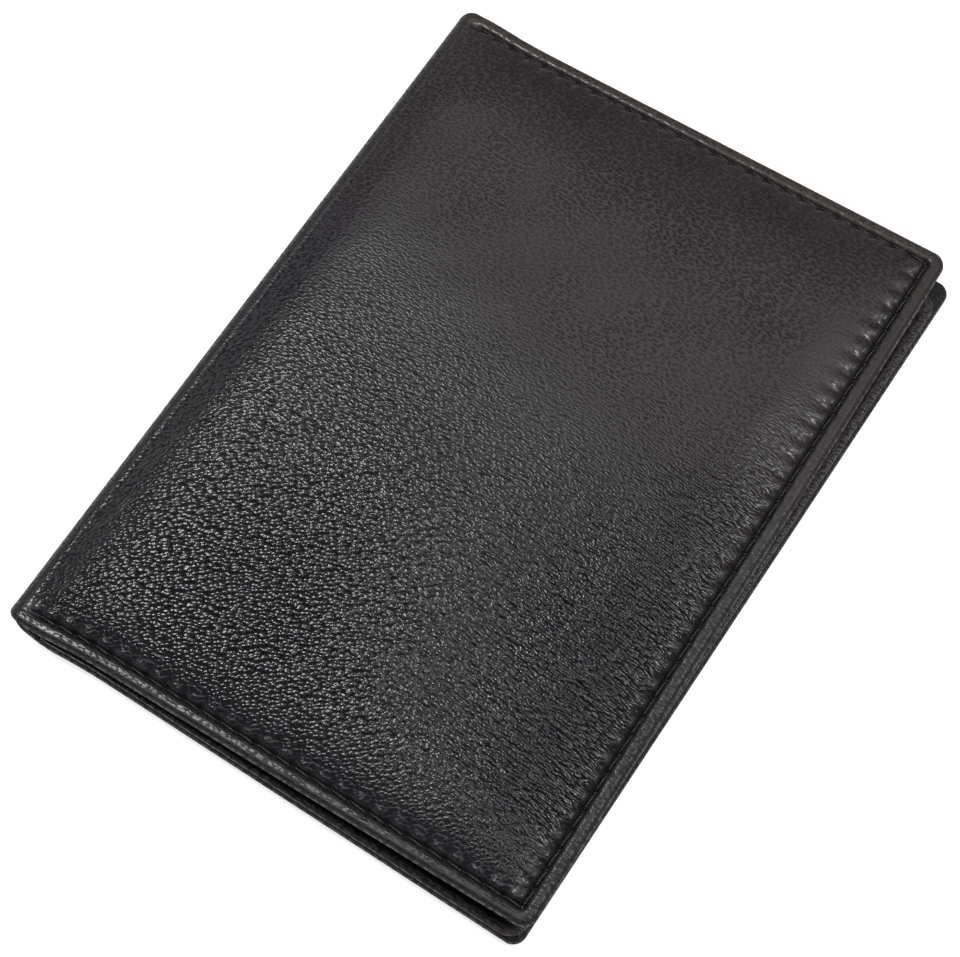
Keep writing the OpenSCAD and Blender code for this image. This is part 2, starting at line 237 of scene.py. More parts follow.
@dataclass(frozen=True)
class Gather:
    """Heights and widths of the relief that a seam draws into padded leather."""

    groove: float = 0.46
    groove_width: float = 0.38
    hole: float = 0.22
    hole_width: float = 0.34
    lip: float = 0.15
    swell: float = 0.12
    notch: float = 0.52
    notch_length: float = 0.50
    notch_spread: float = 0.16
    onset: float = 0.25
    reach: float = 1.6
    fall: float = 1.5
    knob: float = 0.32
    knob_place: float = 0.45
    knob_width: float = 0.5
    scallop: float = 0.03
    scallop_notch: float = 0.10
    scallop_gap: float = 0.1
    scallop_reach: float = 0.5

    def height(self, inset: Array, seam: float, along: Array, length: float, pull: float) -> Array:
        """Height of the seam's groove, needle holes and puckers.

        Args:
            inset: Distance from the edge that the seam follows.
            seam: Distance of the seam from that edge.
            along: Distance along the seam from one of its corners.
            length: Length of that side of the seam.
            pull: How hard the stitches gather the leather.

        Returns:
            Height above the plain surface.
        """
        near, across = to_hole(along, length), inset - seam
        hole = bell(near, HOLE_LENGTH)
        groove = -self.groove * bell(across, self.groove_width)
        holes = -self.hole * hole * bell(across, self.hole_width)
        inside = np.clip(across - self.lip, 0, None)
        notch = bell(near, self.notch_length + self.notch_spread * inside)
        gather = (self.swell - self.notch * notch) * np.exp(-((inside / self.reach) ** self.fall))
        knob = self.knob * (1 - notch) * bell(inside - self.knob_place, self.knob_width)
        pucker = pull * (gather + knob) * fade_in(across, self.onset)
        outside = np.clip(seam - self.lip - inset, 0, None)
        scallop = (self.scallop - self.scallop_notch * hole) * np.exp(-outside / self.scallop_reach)
        return groove + holes + pucker + scallop * (inset < seam - self.scallop_gap)


@dataclass(frozen=True)
class Leaf:
    """Sizes of one leaf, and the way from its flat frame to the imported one.

    The border is flat. The padding stands over it by rise, by belly more in the
    middle, and by puff just inside the seam.
    """

    side: Side
    rise: float
    belly: float
    puff: float
    lean: float = 0.0
    corner_rise: float = 0.0
    width: float = 79.5
    height: float = 110.0
    radius: float = 3.2
    roll_depth: float = 0.81
    cover: float = 0.8
    hem: float = 7.0
    hem_thickness: float = 0.5
    board: float = 0.5
    panel_back: float = 1.85
    panel_face: float = 2.6
    seam: float = 2.2
    spine_corner: float = 0.75
    end_bulge: float = 0.55
    bulge_place: float = 1.5
    bulge_width: float = 6.0
    low_reach: float = 0.0
    low_run: float = 5.0
    low_taper: float = 0.85
    fold_run: float = 13.0
    fold_power: float = 2.3
    puff_start: float = 2.3
    puff_run: float = 3.5
    puff_edge: float = 0.95
    bead: float = 0.04
    bead_place: float = 1.25
    bead_width: float = 0.42
    end_pulls: tuple[float, float] = (0.8, 0.5)
    gather: Gather = field(default_factory=Gather)
    fold: Fold = field(default_factory=Fold)

    def warp(self, x: Array, y: Array) -> tuple[Array, Array]:
        """Leans the free edge and rounds the spine's ends.

        Args:
            x: Distance from the fold.
            y: Distance along the fold.

        Returns:
            The same points on the real outline.
        """
        share, up = np.maximum(x, 0) / self.width, y / self.height
        wide = x + share * self.lean * (0.5 - up)
        high = y + self.corner_rise * share * (1 - up)
        pull = self.spine_corner * (np.minimum(x, 0) / self.fold.half_arc) ** 2
        pull = pull - self.end_bulge * bell(x - self.bulge_place, self.bulge_width)
        reach = self.low_reach * fade_in(x, self.low_run) * (1 - self.low_taper * share)
        reach = reach * (1 - up) ** 2
        return wide, high + pull * (1 - 2 * up) - reach

    def unwarp(self, points: Array) -> Array:
        """Flat points that warp() puts where these ones are.

        Args:
            points: Points on the real outline, one row each.

        Returns:
            The points before the leaning of the free edge.
        """
        x, y = points[:, 0], points[:, 1]
        share, up = x / self.width, y / self.height
        wide = x - share * self.lean * (0.5 - up)
        return np.stack([wide, y - self.corner_rise * share * (1 - up)], -1)

    def lift(self, across: Array, up: Array) -> tuple[Array, Array]:
        """Turns a point about the fold's axis to where the front leaf stands.

        Args:
            across: Distance from the axis across the case.
            up: Height over the axis.

        Returns:
            Both, turned; the rear leaf's points stay.
        """
        if self.side is Side.REAR:
            return across, up
        cosine, sine = math.cos(self.fold.closed), math.sin(self.fold.closed)
        return across * cosine + up * sine, across * sine - up * cosine

    def place(self, x: Array, y: Array, z: Array) -> Array:
        """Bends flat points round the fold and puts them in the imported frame.

        Args:
            x: Distance from the fold; below zero it runs round the spine.
            y: Distance along the fold.
            z: Depth from the outside of the border.

        Returns:
            Points in metres, one row each.
        """
        x, y, z = np.broadcast_arrays(x, y, z)
        x, y = self.warp(x, y)
        turn = np.maximum(-x, 0) / self.fold.radius
        reach = self.fold.radius - z
        across, up = self.lift(np.where(x < 0, -reach * np.sin(turn), x), -reach * np.cos(turn))
        points = (across + self.fold.x, y - self.height / 2, up + self.fold.z)
        return np.stack(points, -1).reshape(-1, 3) * MM

    def bend(self, piece: Piece, start: float, end: float) -> None:
        """Bakes a piece's transform into its mesh; the piece does not turn with the fold.

        Args:
            piece: Leather that covers both.
            start: Not used; where it would begin to turn.
            end: Not used; where it would have turned.
        """
        if self.side is Side.REAR:
            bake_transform(piece)
        else:
            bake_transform(piece)

    def insets(self, x: Array, y: Array) -> tuple[Array, Array, Array]:
        """Distances inside the free edge and the two ends."""
        return self.width - x, y, self.height - y

    def board_step(self, x: Array) -> Array:
        """Thickness of the board behind the leather, which eases in at the fold."""
        fade = fade_in(x + 0.5, 1.5)
        return self.board * fade * fade * (3 - 2 * fade)

    @staticmethod
    def climb(inset: Array, start: float = 2.35, run: float = 14.5, power: float = 2.6) -> Array:
        """Share of the padding's height at a distance inside an edge."""
        return 1 - (1 - fade_in(inset - start, run)) ** power

    @staticmethod
    def sewn(distance: Array) -> Array:
        """One inside a seam's corner and zero outside it, over a short ramp."""
        return np.clip(distance / 0.3 + 0.5, 0, 1)

    @staticmethod
    def waves(x: Array, y: Array) -> Array:
        """Slow unevenness of the padding, from crossing waves of several lengths."""
        slow = 0.05 * np.sin(x / 5.3 + y / 9.1 + 1.2) * np.sin(y / 6.7 - x / 11.3)
        return slow + 0.035 * np.sin(x / 2.9 - y / 3.7) * np.sin(y / 4.9 + 0.7)

    def relief(self, x: Array, y: Array) -> Array:
        """Height of the padded outer face over its flat border.

        Args:
            x: Distance from the fold.
            y: Distance along the fold.

        Returns:
            Height with the padding, the seam and the border's bead.
        """
        insets = self.insets(x, y)
        pad = self.climb(x, 0.0, self.fold_run, self.fold_power) * (x > 0)
        puff = fade_in(x, self.puff_run)
        for inset in insets:
            pad = pad * self.climb(inset)
            puff = puff * (1 - np.exp(-np.clip(inset - self.puff_start, 0, None) / self.puff_edge))
        middle = np.cos(np.clip((x / self.width - 0.5) * math.pi, -math.pi / 2, math.pi / 2))
        middle = middle * np.sin(np.clip(y / self.height, 0, 1) * math.pi)
        height = self.rise * pad + self.puff * puff + self.belly * middle * pad
        height = height + self.waves(x, y) * pad
        side_length = self.height - 2 * self.seam
        side = self.gather.height(insets[0], self.seam, y - self.seam, side_length, 1.0)
        height = height + side * (self.sewn(y - self.seam) * self.sewn(self.height - self.seam - y))
        fade = fade_in(x - 0.3, 2.2)
        end_length = round((self.width - self.seam) / PITCH) * PITCH
        along = self.width - self.seam - x
        for inset, pull in zip(insets[1:], self.end_pulls):
            end = self.gather.height(inset, self.seam, along, end_length, pull)
            height = height + fade * end * self.sewn(along)
        bead = [self.bead * bell(inset - self.bead_place, self.bead_width) for inset in insets]
        return height + np.maximum(np.maximum(bead[0], bead[1]), bead[2])


# Objects and their maps


def smooth_mesh(name: str, points: Array, faces: Faces, sharp: float = 55.0) -> Piece:
    """Makes a smooth-shaded object.

    Args:
        name: Name of the piece.
        points: Points in metres.
        faces: Vertex numbers of each face.
        sharp: Angle in degrees above which an edge stays sharp.

    Returns:
        The new object.
    """
    mesh = bpy.data.meshes.new(name)
    mesh.from_pydata(points.tolist(), [], faces)
    mesh.update()
    shaped = bmesh.new()
    shaped.from_mesh(mesh)
    bmesh.ops.recalc_face_normals(shaped, faces=shaped.faces)
    shaped.to_mesh(mesh)
    shaped.free()
    mesh.shade_smooth()
    mesh.set_sharp_from_angle(angle=math.radians(sharp))
    piece = bpy.data.objects.new(name, mesh)
    bpy.context.scene.collection.objects.link(piece)
    return piece


def add_field(piece: Piece, name: str, values: Array) -> None:
    """Stores one number for each point of a piece."""
    layer = piece.data.attributes.new(name, "FLOAT", "POINT")
    layer.data.foreach_set("value", np.asarray(values, np.float32).ravel())


def add_flat_map(piece: Piece, x: Array, y: Array) -> None:
    """Stores the unrolled place of each point, one unit for 100 mm.

    Args:
        piece: Piece that gets the map.
        x: Place across, one for each point.
        y: Place along.
    """
    layer = piece.data.uv_layers.new(name=FLAT_MAP)
    corner = np.empty(len(piece.data.loops), np.int32)
    piece.data.loops.foreach_get("vertex_index", corner)
    flat = np.stack([np.ravel(x)[corner], np.ravel(y)[corner]], -1) / 100
    layer.data.foreach_set("uv", flat.astype(np.float32).ravel())


# Shared effects


class Effect:
    """A shader node group under construction, with named inputs and outputs."""

    def __init__(self, name: str, inputs: dict[str, float | None], outputs: Sequence[str]) -> None:
        """Makes the group and its sockets.

        Args:
            name: Name of the effect.
            inputs: Default of each input; None makes a vector input.
            outputs: Names of the values that it puts out.
        """
        self.tree = bpy.data.node_groups.new(name, "ShaderNodeTree")
        for key, value in inputs.items():
            kind = "NodeSocketVector" if value is None else "NodeSocketFloat"
            socket = self.tree.interface.new_socket(key, in_out="INPUT", socket_type=kind)
            if value is not None:
                socket.default_value = value
        for key in outputs:
            self.tree.interface.new_socket(key, in_out="OUTPUT", socket_type="NodeSocketFloat")
        self.given = self.tree.nodes.new("NodeGroupInput").outputs
        self.result = self.tree.nodes.new("NodeGroupOutput").inputs


class Nodes:
    """Short ways to add and join shader nodes in one tree."""

    def __init__(self, tree: bpy.types.NodeTree) -> None:
        """Keeps the tree that nodes go into."""
        self.tree = tree

    def join(self, source: object, target: Socket) -> None:
        """Links a socket, or sets a plain value, on a target socket.

        Args:
            source: Socket that the value comes from, or the value.
            target: Input socket that gets it.
        """
        if isinstance(source, bpy.types.NodeSocket):
            self.tree.links.new(source, target)
        else:
            target.default_value = source

    def node(self, kind: str, inputs: dict[int | str, object] | None = None,
             **settings: object) -> bpy.types.Node:
        """Adds a node.

        Args:
            kind: Blender's node type, without the ShaderNode prefix.
            inputs: What goes to each input socket.
            settings: Properties of the node.

        Returns:
            The new node.
        """
        made = self.tree.nodes.new("ShaderNode" + kind)
        for key, value in settings.items():
            setattr(made, key, value)
        for key, value in (inputs or {}).items():
            self.join(value, made.inputs[key])
        return made

    def math(self, operation: str, first: object, second: object = 0.0,
             third: object = 0.0) -> Socket:
        """Result of a Math node."""
        return self.node("Math", {0: first, 1: second, 2: third}, operation=operation).outputs[0]

    def ramp(self, value: object, low: float, high: float, start: float = 0.0,
             end: float = 1.0) -> Socket:
        """Carries a value smoothly from one range to another.

        Args:
            value: Value that is carried.
            low: Value at which the result is start.
            high: Value at which the result is end.
            start: Result at low and below it.
            end: Result at high and above it.

        Returns:
            The result.
        """
        inputs = {"Value": value, "From Min": low, "From Max": high, "To Min": start, "To Max": end}
        return self.node("MapRange", inputs, interpolation_type="SMOOTHSTEP").outputs[0]

    def blend(self, share: object, first: object, second: object) -> Socket:
        """Mixes two colours.

        Args:
            share: Share of the second colour.
            first: Colour at a share of zero.
            second: Colour at a share of one.

        Returns:
            The mixed colour.
        """
        made = self.node("Mix", data_type="RGBA")
        for number, value in zip((0, 6, 7), (share, first, second)):
            self.join(value, made.inputs[number])
        return made.outputs[2]

    def cells(self, vector: object, scale: float, randomness: float) -> Socket:
        """Distance to the middle of the nearest of some cells; scale is cells per 100 mm."""
        inputs = {"Vector": vector, "Scale": scale, "Randomness": randomness}
        return self.node("TexVoronoi", inputs, voronoi_dimensions="2D", feature="F1").outputs[0]

    def noise(self, vector: object, scale: float, detail: float = 2.0) -> Socket:
        """Soft noise between zero and one."""
        inputs = {"Vector": vector, "Scale": scale, "Detail": detail}
        return self.node("TexNoise", inputs).outputs[0]

    def bump(self, height: Socket, depth: float) -> Socket:
        """Normal of a relief that is depth millimetres high."""
        inputs = {"Height": height, "Distance": depth * MM, "Strength": 1.0}
        return self.node("Bump", inputs).outputs[0]


def new_material(name: str) -> tuple[Material, Nodes, bpy.types.bpy_prop_collection]:
    """A new material, the way to its nodes, and its shader's inputs."""
    material = bpy.data.materials.new(name)
    material.use_nodes = True
    return material, Nodes(material.node_tree), material.node_tree.nodes["Principled BSDF"].inputs


def build_grain() -> bpy.types.NodeTree:
    """Builds the pebbled grain: fine beads, coarser pebbles and drawn-out wrinkles.

    Returns:
        A group that gives the grain's height, its creases and slow patches.
    """
    inputs = {"Place": None, "Coarse": 0.3, "Wrinkle": 0.0}
    effect = Effect("leather_grain", inputs, ("Height", "Crease", "Patch"))
    nodes = Nodes(effect.tree)
    place = effect.given["Place"]
    drift = nodes.node("TexNoise", {"Vector": place, "Scale": 70.0, "Detail": 1.0})
    middle = (0.5, 0.5, 0.5)
    moved = nodes.node("VectorMath", {0: drift.outputs[1], 1: middle}, operation="SUBTRACT")
    shift = nodes.node("VectorMath", {0: moved.outputs[0], 3: 0.006}, operation="SCALE")
    bent = nodes.node("VectorMath", {0: place, 1: shift.outputs[0]}).outputs[0]

    def domes(scale: float, stretch: float, turn: float) -> Socket:
        """Round beads that meet in creases.

        Args:
            scale: Beads in 100 mm.
            stretch: Share of that number lengthways.
            turn: Direction that they are drawn out in, in degrees.

        Returns:
            Their height, one on top of each bead.
        """
        rotation = (0.0, 0.0, math.radians(turn))
        turned = nodes.node("Mapping", {"Vector": bent, "Rotation": rotation}, vector_type="POINT")
        drawn = nodes.node("Mapping", {"Vector": turned.outputs[0], "Scale": (stretch, 1.0, 1.0)})
        reach = nodes.cells(drawn.outputs[0], scale, 0.82)
        square = nodes.math("MULTIPLY", reach, reach)
        steep = nodes.math("MULTIPLY_ADD", square, 3.0, 1.6)
        return nodes.math("SUBTRACT", 1.0, nodes.math("MULTIPLY", square, steep))

    def between(first: Socket, second: Socket, share: Socket) -> Socket:
        """A height between two others."""
        return nodes.math("MULTIPLY_ADD", nodes.math("SUBTRACT", second, first), share, first)

    fine, pebble = domes(255.0, 0.48, 0.0), domes(188.0, 0.68, -38.0)
    folds = domes(285.0, 0.45, 8.0)
    coarse = between(fine, pebble, effect.given["Coarse"])
    grain = between(coarse, folds, effect.given["Wrinkle"])
    pores = nodes.noise(place, 900.0, 1.0)
    nodes.join(nodes.math("MULTIPLY_ADD", pores, 0.10, grain), effect.result["Height"])
    nodes.join(nodes.ramp(grain, 0.35, 0.85, 1.0, 0.0), effect.result["Crease"])
    nodes.join(nodes.ramp(nodes.noise(place, 9.0, 3.0), 0.32, 0.68), effect.result["Patch"])
    return effect.tree


# Finishes


@dataclass(frozen=True)
class LeatherFinish:
    """Grained leather with painted shade in its creases, whose brightness is a share of the tone.

    Where it reads the skin's fields, they say how the grain, the wear and the shade
    change; elsewhere the grain is the same all over.
    """

    name: str
    tone: Tone
    roughness: float
    depth: float
    coarse: float
    shaded_crease: float = 0.2
    reads_fields: bool = True
    crease_roughness: float = 0.30
    shade_roughness: float = 0.22
    patch_roughness: float = 0.025

    def build(self, grain: bpy.types.NodeTree) -> Material:
        """Makes the material.

        Args:
            grain: The shared grain effect.

        Returns:
            The material.
        """
        material, nodes, shader = new_material(self.name)
        place = nodes.node("UVMap", uv_map=FLAT_MAP).outputs[0]
        group = nodes.node("Group", {"Place": place}, node_tree=grain)
        if self.reads_fields:
            coarse, wrinkle, worn, strength, shade = (
                nodes.node("Attribute", attribute_name=name).outputs["Fac"] for name in GRAIN_FIELDS
            )
            nodes.join(wrinkle, group.inputs["Wrinkle"])
            # How much of the painted shade in the creases shows, from how deep the grain is pressed
            seen = nodes.ramp(strength, 0.1, 0.7, 0.12, 0.9)
            shine = nodes.math("MULTIPLY", strength, -0.09)
        else:
            coarse, worn, strength, shade, seen, shine = self.coarse, 0.0, 1.0, 0.0, 0.9, 0.0
        nodes.join(coarse, group.inputs["Coarse"])
        shaded_crease, patch = group.outputs["Crease"], group.outputs["Patch"]
        # Painted shade: the creases are darkened to a share of the tone
        painted_crease_shade = nodes.math("MULTIPLY", shaded_crease, seen)
        base = nodes.blend(painted_crease_shade, self.tone.solid(), self.tone.solid(self.shaded_crease))
        rubbed = nodes.math("MULTIPLY", worn, nodes.ramp(patch, 0.0, 1.0, 0.80, 1.0))
        base = nodes.blend(rubbed, base, Tone.WORN.solid())
        base = nodes.blend(nodes.math("MULTIPLY", shade, 0.85), base, Tone.SHADED.solid())
        nodes.join(base, shader["Base Color"])
        rough = nodes.ramp(shaded_crease, 0.0, 1.0, self.roughness, self.roughness + self.crease_roughness)
        spread = nodes.ramp(patch, 0.0, 1.0, -self.patch_roughness, self.patch_roughness)
        dull = nodes.math("ADD", spread, shine)
        dull = nodes.math("MULTIPLY_ADD", shade, self.shade_roughness, dull)
        nodes.join(nodes.math("ADD", rough, dull), shader["Roughness"])
        height = nodes.math("MULTIPLY", group.outputs["Height"], strength)
        nodes.join(nodes.bump(height, self.depth), shader["Normal"])
        return material


@dataclass(frozen=True)
class ThreadFinish:
    """Waxed polyester thread with its twist and painted shade between its plies; its flat map runs
    along and round it.
    """

    name: str = "black_thread"
    twist: float = 1600.0
    plies: float = 200.0
    depth: float = 0.05

    def build(self) -> Material:
        """Makes the material.

        Returns:
            The material.
        """
        material, nodes, shader = new_material(self.name)
        place = nodes.node("UVMap", uv_map=FLAT_MAP).outputs[0]
        parts = nodes.node("SeparateXYZ", {0: place}).outputs
        run = nodes.math("MULTIPLY", parts[0], self.twist)
        turn = nodes.math("MULTIPLY_ADD", parts[1], self.plies * math.pi, run)
        ply = nodes.math("MULTIPLY_ADD", nodes.math("SINE", turn), 0.5, 0.5)
        # Painted shade: the valleys between the plies are darkened
        base = nodes.blend(ply, Tone.THREAD_VALLEY_SHADE.solid(), Tone.THREAD.solid())
        nodes.join(base, shader["Base Color"])
        nodes.join(nodes.ramp(ply, 0.0, 1.0, 0.55, 0.34), shader["Roughness"])
        nodes.join(nodes.bump(ply, self.depth), shader["Normal"])
        return material


@dataclass(frozen=True)
class CoreFinish:
    """Foam, fibre board, lining cloth or film, seen only at cut edges and through openings."""

    name: str
    tone: Tone
    scale: float
    depth: float
    roughness: float
    alpha: float = 1.0
    contrast: float = 0.25
    spread: float = 0.06

    def build(self) -> Material:
        """Makes the material.

        Returns:
            The material.
        """
        material, nodes, shader = new_material(self.name)
        speck = nodes.noise(nodes.node("TexCoord").outputs["Object"], self.scale, 4.0)
        dark = self.tone.solid(1 - self.contrast)
        base = nodes.blend(nodes.ramp(speck, 0.3, 0.7), dark, self.tone.solid())
        low, high = self.roughness - self.spread, self.roughness + self.spread
        nodes.join(base, shader["Base Color"])
        nodes.join(nodes.ramp(speck, 0.2, 0.8, low, high), shader["Roughness"])
        nodes.join(nodes.bump(speck, self.depth), shader["Normal"])
        shader["Alpha"].default_value = self.alpha
        return material

    def cover(self, material: Material, *nodes: str) -> None:
        """Gives the finish to CAD nodes that keep their shape.

        Args:
            material: The finish, as build() made it.
            nodes: Names of the nodes.
        """
        for name in nodes:
            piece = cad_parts[name]
            piece.data.materials.clear()
            piece.data.materials.append(material)


# Outer leather


@dataclass(frozen=True)
class LeatherSkin:
    """Outer leather of one leaf and its half of the spine, as one padded shell."""

    ARC_STEPS = 32
    FLAT_STEPS = 264
    FREE_STEPS = 364
    ROLL_STEPS = 14
    SPARSE = 4
    INNER_INSET = 17.2
    FACE_INSETS = (16, 14.5, 13, 11.5, 10, 8.7, 7.5, 6.4, 5.4, 4.6, 4.0, 3.6, 3.25, 2.95,
                   2.78, 2.62, 2.5, 2.4, 2.3, 2.2, 2.1, 2.0, 1.9, 1.78, 1.62, 1.42, 1.2, 1.0)
    HEM_INSETS = (1.2, 2.0, 3.5, 5.0)
    LINING_INSETS = (2.6, 3.6, 6.0, 10.0, 16.0)

    leaf: Leaf
    least_corner: float = 0.3
    roll_swell: float = 0.03
    hem_start: float = 0.1
    bend_reach: float = 1.27

    def ring(self, inset: float) -> tuple[Array, Array]:
        """Points of a line round three sides at one inset.

        Args:
            inset: Distance inside the edge.

        Returns:
            x and y, from the middle of the spine round to it again.
        """
        leaf = self.leaf
        radius = max(leaf.radius - inset, self.least_corner)
        quarter = radius * math.pi / 4
        plain = leaf.width - inset - radius
        run = np.linspace(0, plain + quarter, self.FLAT_STEPS + 1)
        turn = np.clip(run - plain, 0, None) / radius
        end_x = np.minimum(run, plain) + radius * np.sin(turn)
        end_y = inset + radius * (1 - np.cos(turn))
        spine = np.linspace(-leaf.fold.half_arc, 0, self.ARC_STEPS + 1)[:-1]
        end_x = np.concatenate([spine, end_x])
        end_y = np.concatenate([np.full(len(spine), inset), end_y])
        half = leaf.height / 2 - inset - radius
        run = np.linspace(-(half + quarter), half + quarter, self.FREE_STEPS + 1)[1:-1]
        turn = np.clip(np.abs(run) - half, 0, None) / radius
        free_x = leaf.width - inset - radius * (1 - np.cos(turn))
        free_y = np.minimum(np.abs(run), half) + radius * np.sin(turn)
        free_y = leaf.height / 2 + np.sign(run) * free_y
        x = np.concatenate([end_x, free_x, end_x[::-1]])
        y = np.concatenate([end_y, free_y, leaf.height - end_y[::-1]])
        return x, y

    def sections(self) -> list[tuple[float, Depth]]:
        """Rings of the shell, from the face round the roll to the inside.

        Returns:
            The inset of each ring and what gives its depth.
        """
        leaf = self.leaf

        def face(x: Array, y: Array) -> Array:
            """Depth of the face that shows."""
            return -leaf.relief(x, y)

        def lining(x: Array, y: Array) -> Array:
            """Depth of the back of the leather."""
            return leaf.cover - leaf.relief(x, y)

        def stack(x: Array, y: Array) -> Array:
            """Depth of the back of the board."""
            return leaf.cover + leaf.board_step(x)

        def hem(x: Array, y: Array) -> Array:
            """Depth of the turned-in hem's face."""
            return stack(x, y) + leaf.hem_thickness

        def roll(share: float) -> Depth:
            """Depth at a share of the way round the rolled edge."""
            return lambda x, y: share * hem(x, y) - self.roll_swell * (1 - share)

        rings: list[tuple[float, Depth]] = [(inset, face) for inset in self.FACE_INSETS]
        for step in range(self.ROLL_STEPS + 1):
            angle = math.pi * step / self.ROLL_STEPS
            rings.append((leaf.roll_depth * (1 - math.sin(angle)), roll((1 - math.cos(angle)) / 2)))
        start = leaf.roll_depth + self.hem_start
        rings += [(inset, hem) for inset in (*self.HEM_INSETS, leaf.hem)]
        rings += [(leaf.hem, stack), (start, stack), (start, level(leaf.cover))]
        return rings + [(inset, lining) for inset in self.LINING_INSETS]

    def kept_ends(self) -> Array:
        """Sample numbers along a short side that the middle keeps."""
        flat = np.arange(self.ARC_STEPS, self.ARC_STEPS + self.FLAT_STEPS + 1, self.SPARSE)
        return np.concatenate([np.arange(self.ARC_STEPS), flat])

    def kept_sides(self) -> Array:
        """Sample numbers along the free side that the middle keeps."""
        return np.arange(0, self.FREE_STEPS + 1, self.SPARSE)

    def grid(self, depth: Depth) -> tuple[Array, Array, Array]:
        """The sparser middle of a face.

        Args:
            depth: Depth of the face.

        Returns:
            x, y and z, one row for each place across the leaf.
        """
        x, y = self.ring(self.INNER_INSET)
        end = self.ARC_STEPS + self.FLAT_STEPS
        columns = x[self.kept_ends()]
        columns[-1] = self.leaf.width - self.INNER_INSET
        rows = y[end:end + self.FREE_STEPS + 1][self.kept_sides()]
        rows[0], rows[-1] = self.INNER_INSET, self.leaf.height - self.INNER_INSET
        wide, high = np.meshgrid(columns, rows, indexing="ij")
        return wide, high, depth(wide, high)

    def rim(self, base: int) -> tuple[list[int], list[int]]:
        """Pairs the first ring of a face with the middle that it surrounds.

        Args:
            base: Number of the middle's first point.

        Returns:
            Ring samples, and the middle's point numbers, that meet at its rim.
        """
        ends, sides = self.kept_ends(), self.kept_sides()
        corner = self.ARC_STEPS + self.FLAT_STEPS
        count, deep = len(ends), len(sides)
        last = corner + self.FREE_STEPS + corner
        samples = list(ends) + list(corner + sides[1:-1]) + list(last - ends[::-1])
        numbers = [base + i * deep for i in range(count)]
        numbers += [base + (count - 1) * deep + j for j in range(1, deep - 1)]
        numbers += [base + i * deep + deep - 1 for i in range(count - 1, -1, -1)]
        return samples, numbers

    def build(self) -> tuple[Piece, Array, Array, Array]:
        """Makes the skin's mesh.

        Returns:
            The object, and the flat x, y and z of its points.
        """
        sections = self.sections()
        parts = []
        for inset, depth in sections:
            x, y = self.ring(inset)
            parts.append((x, y, depth(x, y)))
        count = len(parts[0][0])
        faces = grid_faces(len(sections), count)
        base = count * len(sections)
        caps: list[list[int]] = []
        for first, depth in ((0, sections[0][1]), (base - count, sections[-1][1])):
            wide, high, deep = self.grid(depth)
            parts.append((wide.ravel(), high.ravel(), deep.ravel()))
            samples, numbers = self.rim(base)
            for a, b, c, d in zip(samples, samples[1:], numbers, numbers[1:]):
                faces.append([first + j for j in range(a, b + 1)] + [d, c])
            faces += grid_faces(*wide.shape, base)
            caps.append([base + j for j in range(wide.shape[1])])
            base += wide.size
        low = [k * count for k in range(len(sections))]
        high_end = [number + count - 1 for number in low]
        faces.append(low + caps[1] + high_end[::-1] + caps[0][::-1])
        x, y, z = (np.concatenate(part) for part in zip(*parts))
        piece = smooth_mesh(f"{self.leaf.side.value}_leather", self.leaf.place(x, y, z), faces)
        return piece, x, y, z

    def fields(self, x: Array, y: Array, z: Array) -> dict[str, Array]:
        """Where the grain, the wear and the shade change over the skin.

        The regions are the photograph's: a coarse, shiny lower left, a smooth and worn
        top, wrinkles on the right that the seam gathers, and a finer lower border.

        Args:
            x: Distance from the fold.
            y: Distance along the fold.
            z: Depth from the outside of the border.

        Returns:
            One value for each point under each name in GRAIN_FIELDS.
        """
        leaf = self.leaf
        edge = np.clip(np.minimum(np.minimum(leaf.width - x, y), leaf.height - y), 0, None)
        # Regions of the face, each from zero to one
        left = bell(x - 25, 42) * bell(y - 15, 36)
        top = fade_in(y + 0.35 * x - 58, 42)
        right = fade_in(x - 34, 26) * fade_in(92 - y, 30)
        lower = fade_in(20 - y, 14) * fade_in(x - 22, 18)
        wrinkle = right * (1 - 0.6 * left) * fade_in(y - 2, 12)
        # The border, the seam's groove and what lies in shade
        border = np.exp(-edge / 1.6)
        flank = np.exp(-np.clip(leaf.width - x, 0, None) / 1.6)
        groove = bell(edge - leaf.seam, 0.40) * fade_in(x - 0.5, 2)
        shade = fade_in(z - 0.15, 0.5) + 0.9 * groove + 0.6 * fade_in(-x, 1.5)
        shade = np.clip(shade + 0.85 * flank + 0.3 * border * (1 - top), 0, 1)
        # How deep the grain is pressed
        patches = np.sin(0.9 * x + 2 * np.sin(0.23 * y)) * np.sin(0.7 * y + 0.31 * x)
        low = fade_in(64 - y, 44) * np.clip(0.55 + 0.9 * patches, 0, 1)
        gathered = wrinkle * (0.22 + 0.68 * bell(leaf.width - x, 14))
        depth = 0.36 + 0.74 * np.maximum(left, 0.4 * lower) + gathered - 0.46 * top
        depth = np.clip(depth, 0.08, 1.2)
        depth = depth * (1 - 0.25 * fade_in(3.0 - x, 3.0)) + 0.3 * low * bell(x - 4.5, 3.0)
        depth = depth * (0.30 + 0.70 * fade_in(edge - 2.8, 1.8))
        crest = 0.10 + 0.42 * bell(edge - 1.3, 0.32) * low
        coarse = np.clip(0.24 + 0.75 * left + 0.5 * lower - 0.2 * top - 0.16 * right, 0, 1)
        worn = np.clip(0.85 * border * (0.25 + 0.75 * top) + 0.36 * top, 0, 1)
        depth = np.where(edge < 1.9, crest, depth) * (1 - 0.7 * shade)
        values = (coarse * (edge > 2.0), 0.85 * wrinkle, worn, depth, shade)
        return dict(zip(GRAIN_FIELDS, values))

